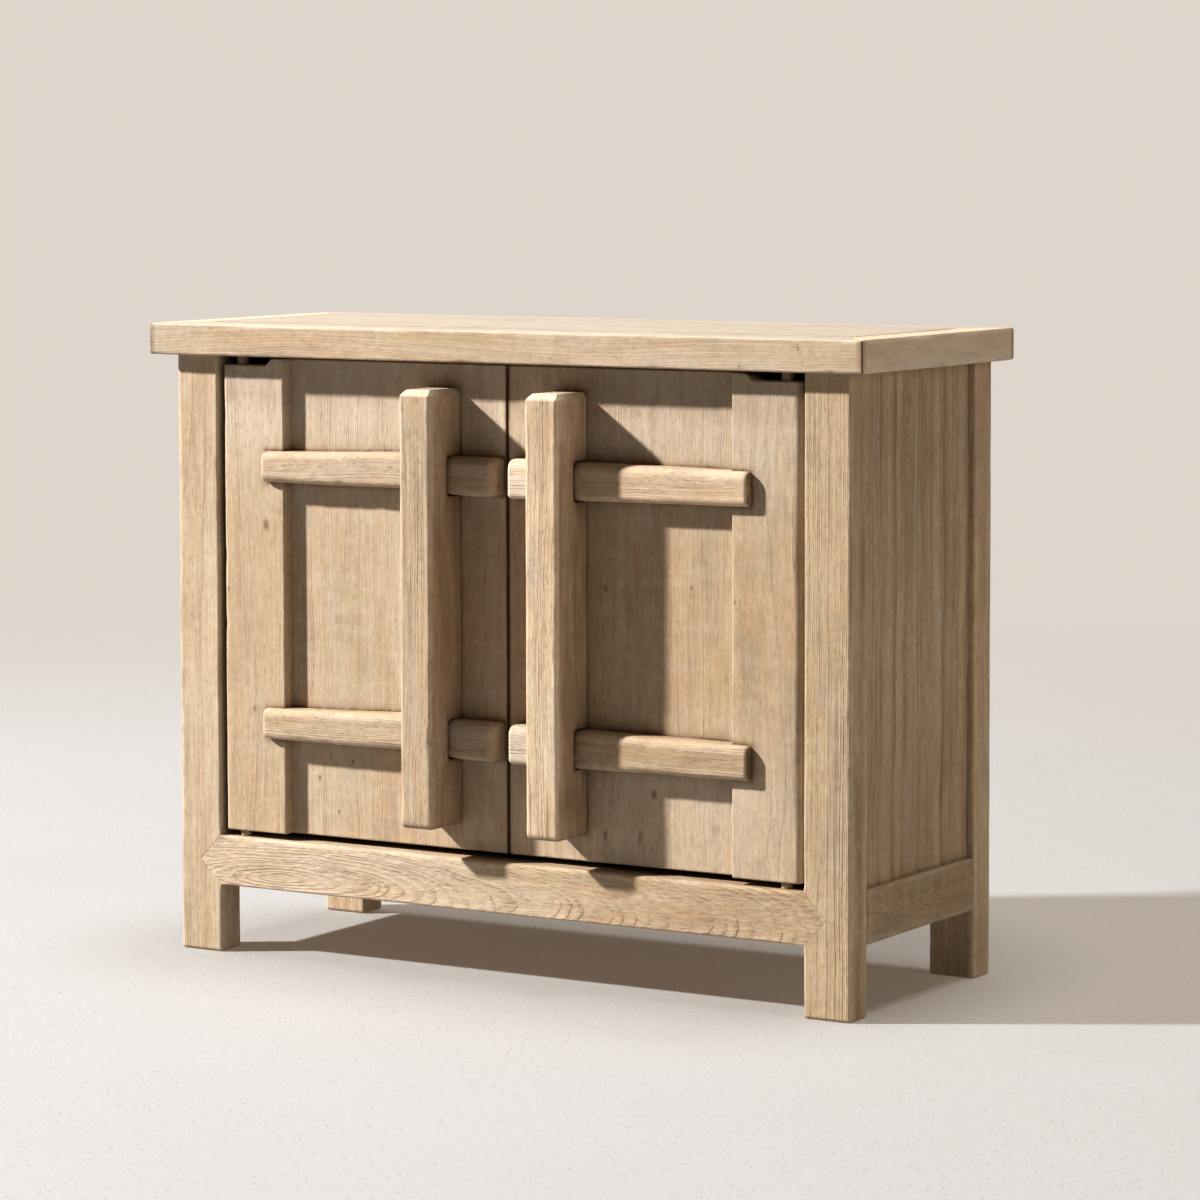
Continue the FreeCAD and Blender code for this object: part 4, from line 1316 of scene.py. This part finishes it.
def carveHandle(sideName):
    node = sideName + "_door_handle"
    low, high = handleBoxes[sideName]
    slots = []
    for level in levels:
        battenLow, battenHigh = battenBoxes[sideName, level]
        slots.append(((battenLow[2] + battenHigh[2]) / 2, (battenHigh[2] - battenLow[2]) / 2, battenLow[1]))
    r, gap = doorLook["slotRound"], doorLook["slotGap"]
    front, behind = handleLook["rounds"], handleLook["backRounds"]

    def section(places):
        # The slots at the back follow the battens' rounded fronts, a little clear of them
        back = np.full_like(places, high[1])
        for middle, half, face in slots:
            inside = half + gap - np.abs(places - middle)
            bend = np.clip(r - inside, 0, r)
            floor = face - gap + r - np.sqrt(np.maximum(r * r - bend * bend, 0))
            back = np.where(inside > 0, floor, back)
        return rectangle(low[0], high[0], low[1], back), np.array([[front, front, behind, behind]])

    extras = []
    for middle, half, _ in slots:
        for sign in (-1, 1):
            edge = middle + sign * (half + gap)
            extras += [edge + sign * hair, edge - sign * hair]
            extras += [edge - sign * r * (1 - math.cos(angle)) for angle in arcShares[1:]]
            extras += [edge + sign * step for step in joinSteps[1:]]
    carve(node, 2, (low[2], high[2]), section, sideName + "_door", "door_wood",
          {**handleLook, "tone": doorLook["tones"][node]}, extras=np.array(extras),
          soil=handleDarkening(sideName), sun=handleSun)


for sideName in sides:
    carveStile(sideName)
    carveBoards(sideName)
    for level in levels:
        carveDoorBatten(sideName, level)
    carveHandle(sideName)
print("doors carved")


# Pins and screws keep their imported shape

pinLook = {
    "rings": (90.0, 90.0, 900.0),
    "streaks": (420.0, 420.0, 30.0),
    "dark": (0.20, 0.135, 0.085),
    "pale": (0.36, 0.26, 0.17),
    "burnt": (0.10, 0.07, 0.045),
}
screwLook = {
    "cloud": (140.0, 140.0, 140.0),
    "grit": (900.0, 900.0, 900.0),
    "zinc": (0.46, 0.45, 0.43),
    "bright": (0.62, 0.61, 0.58),
    "rust": (0.25, 0.15, 0.09),
}


def turnedPin():
    paint = Paint("turned pin")
    place = paint.place()
    rings = paint.noise(place, pinLook["rings"])
    streaks = paint.noise(place, pinLook["streaks"])
    colour = paint.blend(paint.rise(streaks, 0.3, 0.7), pinLook["dark"], pinLook["pale"])
    colour = paint.blend(paint.rise(rings, 0.55, 0.75) * 0.5, colour, pinLook["burnt"])
    return paint.finish(Base_Color=colour, Roughness=0.42 + streaks * 0.2,
                        Normal=paint.bump(rings * 0.0002 + streaks * 0.0001))


def zincSteel():
    paint = Paint("zinc steel")
    place = paint.place()
    cloud = paint.noise(place, screwLook["cloud"], 3.0)
    grit = paint.noise(place, screwLook["grit"])
    rusty = paint.rise(cloud, 0.62, 0.8)
    colour = paint.blend(paint.rise(cloud, 0.35, 0.7), screwLook["zinc"], screwLook["bright"])
    colour = paint.blend(rusty * 0.6, colour, screwLook["rust"])
    return paint.finish(Base_Color=colour, Metallic=1 - rusty * 0.7, Roughness=0.35 + grit * 0.25,
                        Normal=paint.bump(grit * 0.00004))


def dress(node, material):
    node.data.materials.clear()
    node.data.materials.append(material)


pinMaterial, screwMaterial = turnedPin(), zincSteel()
for sideName in sides:
    for end in ("top", "bottom"):
        dress(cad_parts["%s_door_pin_%s" % (sideName, end)], pinMaterial)
    dress(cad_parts[sideName + "_door_screws"], screwMaterial)
print("pins and screws dressed")


# Floor and light

studio = {
    "floorSize": 14.0,
    "floorFade": (1.5, 4.6),          # distances between which the floor melts into the backdrop
    "floorColour": (0.275, 0.285, 0.292),
    "floorGlow": (0.170, 0.128, 0.096),
    "cloud": (2.0, 2.0, 2.0),         # soft darker areas, grains and small pits
    "cloudDark": 0.95,
    "grit": (260.0, 260.0, 260.0),
    "gritColour": (0.20, 0.18, 0.16),
    "pits": (190.0, 190.0, 190.0),
    "pitColour": (0.09, 0.075, 0.06),
    "farFloor": (0.42, 0.72),         # distances between which the next two come in
    "farShade": (0.71, 0.75, 0.85),
    "farGlow": (0.355, 0.292, 0.214),
    "keyWay": (1.62, 1.0, -1.25),     # the way that the main light travels
    "keyAim": (0.0, -0.15, 0.45),
    "keyAway": 11.0,
    "keySize": 0.55,
    "keyPower": 3250.0,
    "keyColour": (1.0, 0.985, 0.96),
    "topWay": (-0.08, -0.10, -1.0),
    "topPower": 2.3,
    "topColour": (0.98, 0.98, 0.98),
    "topAngle": 26.0,
    "sideWay": (-1.0, 0.15, -0.15),   # a soft light from the right
    "sidePower": 1.08,
    "sideColour": (1.0, 0.95, 0.87),
    "sideAngle": 40.0,
    "fillColour": (0.110, 0.084, 0.054),
    "backdropColour": (0.775, 0.725, 0.665),
    "gamma": 0.80,
}


def paleFloor():
    paint = Paint("pale floor")
    place = paint.place()
    cloud = paint.noise(place, studio["cloud"], 3.0)
    grit = paint.noise(place, studio["grit"])
    pits = paint.noise(place, studio["pits"], 1.0)
    darker = tuple(value * studio["cloudDark"] for value in studio["floorColour"])
    colour = paint.blend(paint.rise(cloud, 0.3, 0.7) * 0.5, studio["floorColour"], darker)
    colour = paint.blend(paint.rise(grit, 0.56, 0.76) * 0.35, colour, studio["gritColour"])
    colour = paint.blend(paint.rise(pits, 0.66, 0.72) * 0.75, colour, studio["pitColour"])
    x, y, _ = paint.parts(place)
    away = (x * x + y * y) ** 0.5
    # Far off, the floor takes less light and gives more of its own, so that shadows grow paler
    far = paint.rise(away, *studio["farFloor"])
    colour = paint.blend(far, colour, studio["farShade"], "MULTIPLY")
    glow = paint.blend(far, studio["floorGlow"], studio["farGlow"])
    return paint.finish(Base_Color=colour, Roughness=0.85, Normal=paint.bump(grit * 0.0003),
                        Alpha=1 - paint.rise(away, *studio["floorFade"]), Emission_Color=glow,
                        Emission_Strength=1.0)


def makeFloor():
    half = studio["floorSize"]
    mesh = bpy.data.meshes.new("floor")
    corners = [(-half, -half, 0), (half, -half, 0), (half, half, 0), (-half, half, 0)]
    mesh.from_pydata(corners, [], [(0, 1, 2, 3)])
    mesh.materials.append(paleFloor())
    floor = bpy.data.objects.new("floor", mesh)
    bpy.context.scene.collection.objects.link(floor)


def addLight(name, kind, way, power, colour):
    # A lamp shines along its own -Z, so it is tipped from there to the way it should travel
    data = bpy.data.lights.new(name, kind)
    data.energy = power
    data.color = colour
    lamp = bpy.data.objects.new(name, data)
    across, back, up = way
    lamp.rotation_euler = (math.atan2(math.hypot(across, back), -up), 0, math.atan2(-across, back))
    bpy.context.scene.collection.objects.link(lamp)
    return lamp


def lightStudio():
    key = addLight("key", "AREA", studio["keyWay"], studio["keyPower"], studio["keyColour"])
    key.data.shape = "DISK"
    key.data.size = studio["keySize"]
    way = np.array(studio["keyWay"])
    key.location = np.array(studio["keyAim"]) - studio["keyAway"] * way / np.linalg.norm(way)
    top = addLight("top", "SUN", studio["topWay"], studio["topPower"], studio["topColour"])
    top.data.angle = math.radians(studio["topAngle"])
    side = addLight("side", "SUN", studio["sideWay"], studio["sidePower"], studio["sideColour"])
    side.data.angle = math.radians(studio["sideAngle"])
    # The camera sees a pale backdrop, and the cabinet gets a weaker, warmer fill from all round
    world = bpy.data.worlds.new("studio")
    world.use_nodes = True
    nodes, links = world.node_tree.nodes, world.node_tree.links
    path, mix = nodes.new("ShaderNodeLightPath"), nodes.new("ShaderNodeMix")
    mix.data_type = "RGBA"
    mix.inputs[6].default_value = (*studio["fillColour"], 1)
    mix.inputs[7].default_value = (*studio["backdropColour"], 1)
    links.new(path.outputs["Is Camera Ray"], mix.inputs[0])
    links.new(mix.outputs[2], nodes["Background"].inputs["Color"])
    bpy.context.scene.world = world
    settings = bpy.context.scene.view_settings
    settings.view_transform = "Standard"
    settings.gamma = studio["gamma"]


makeFloor()
lightStudio()
print("floor and light set")
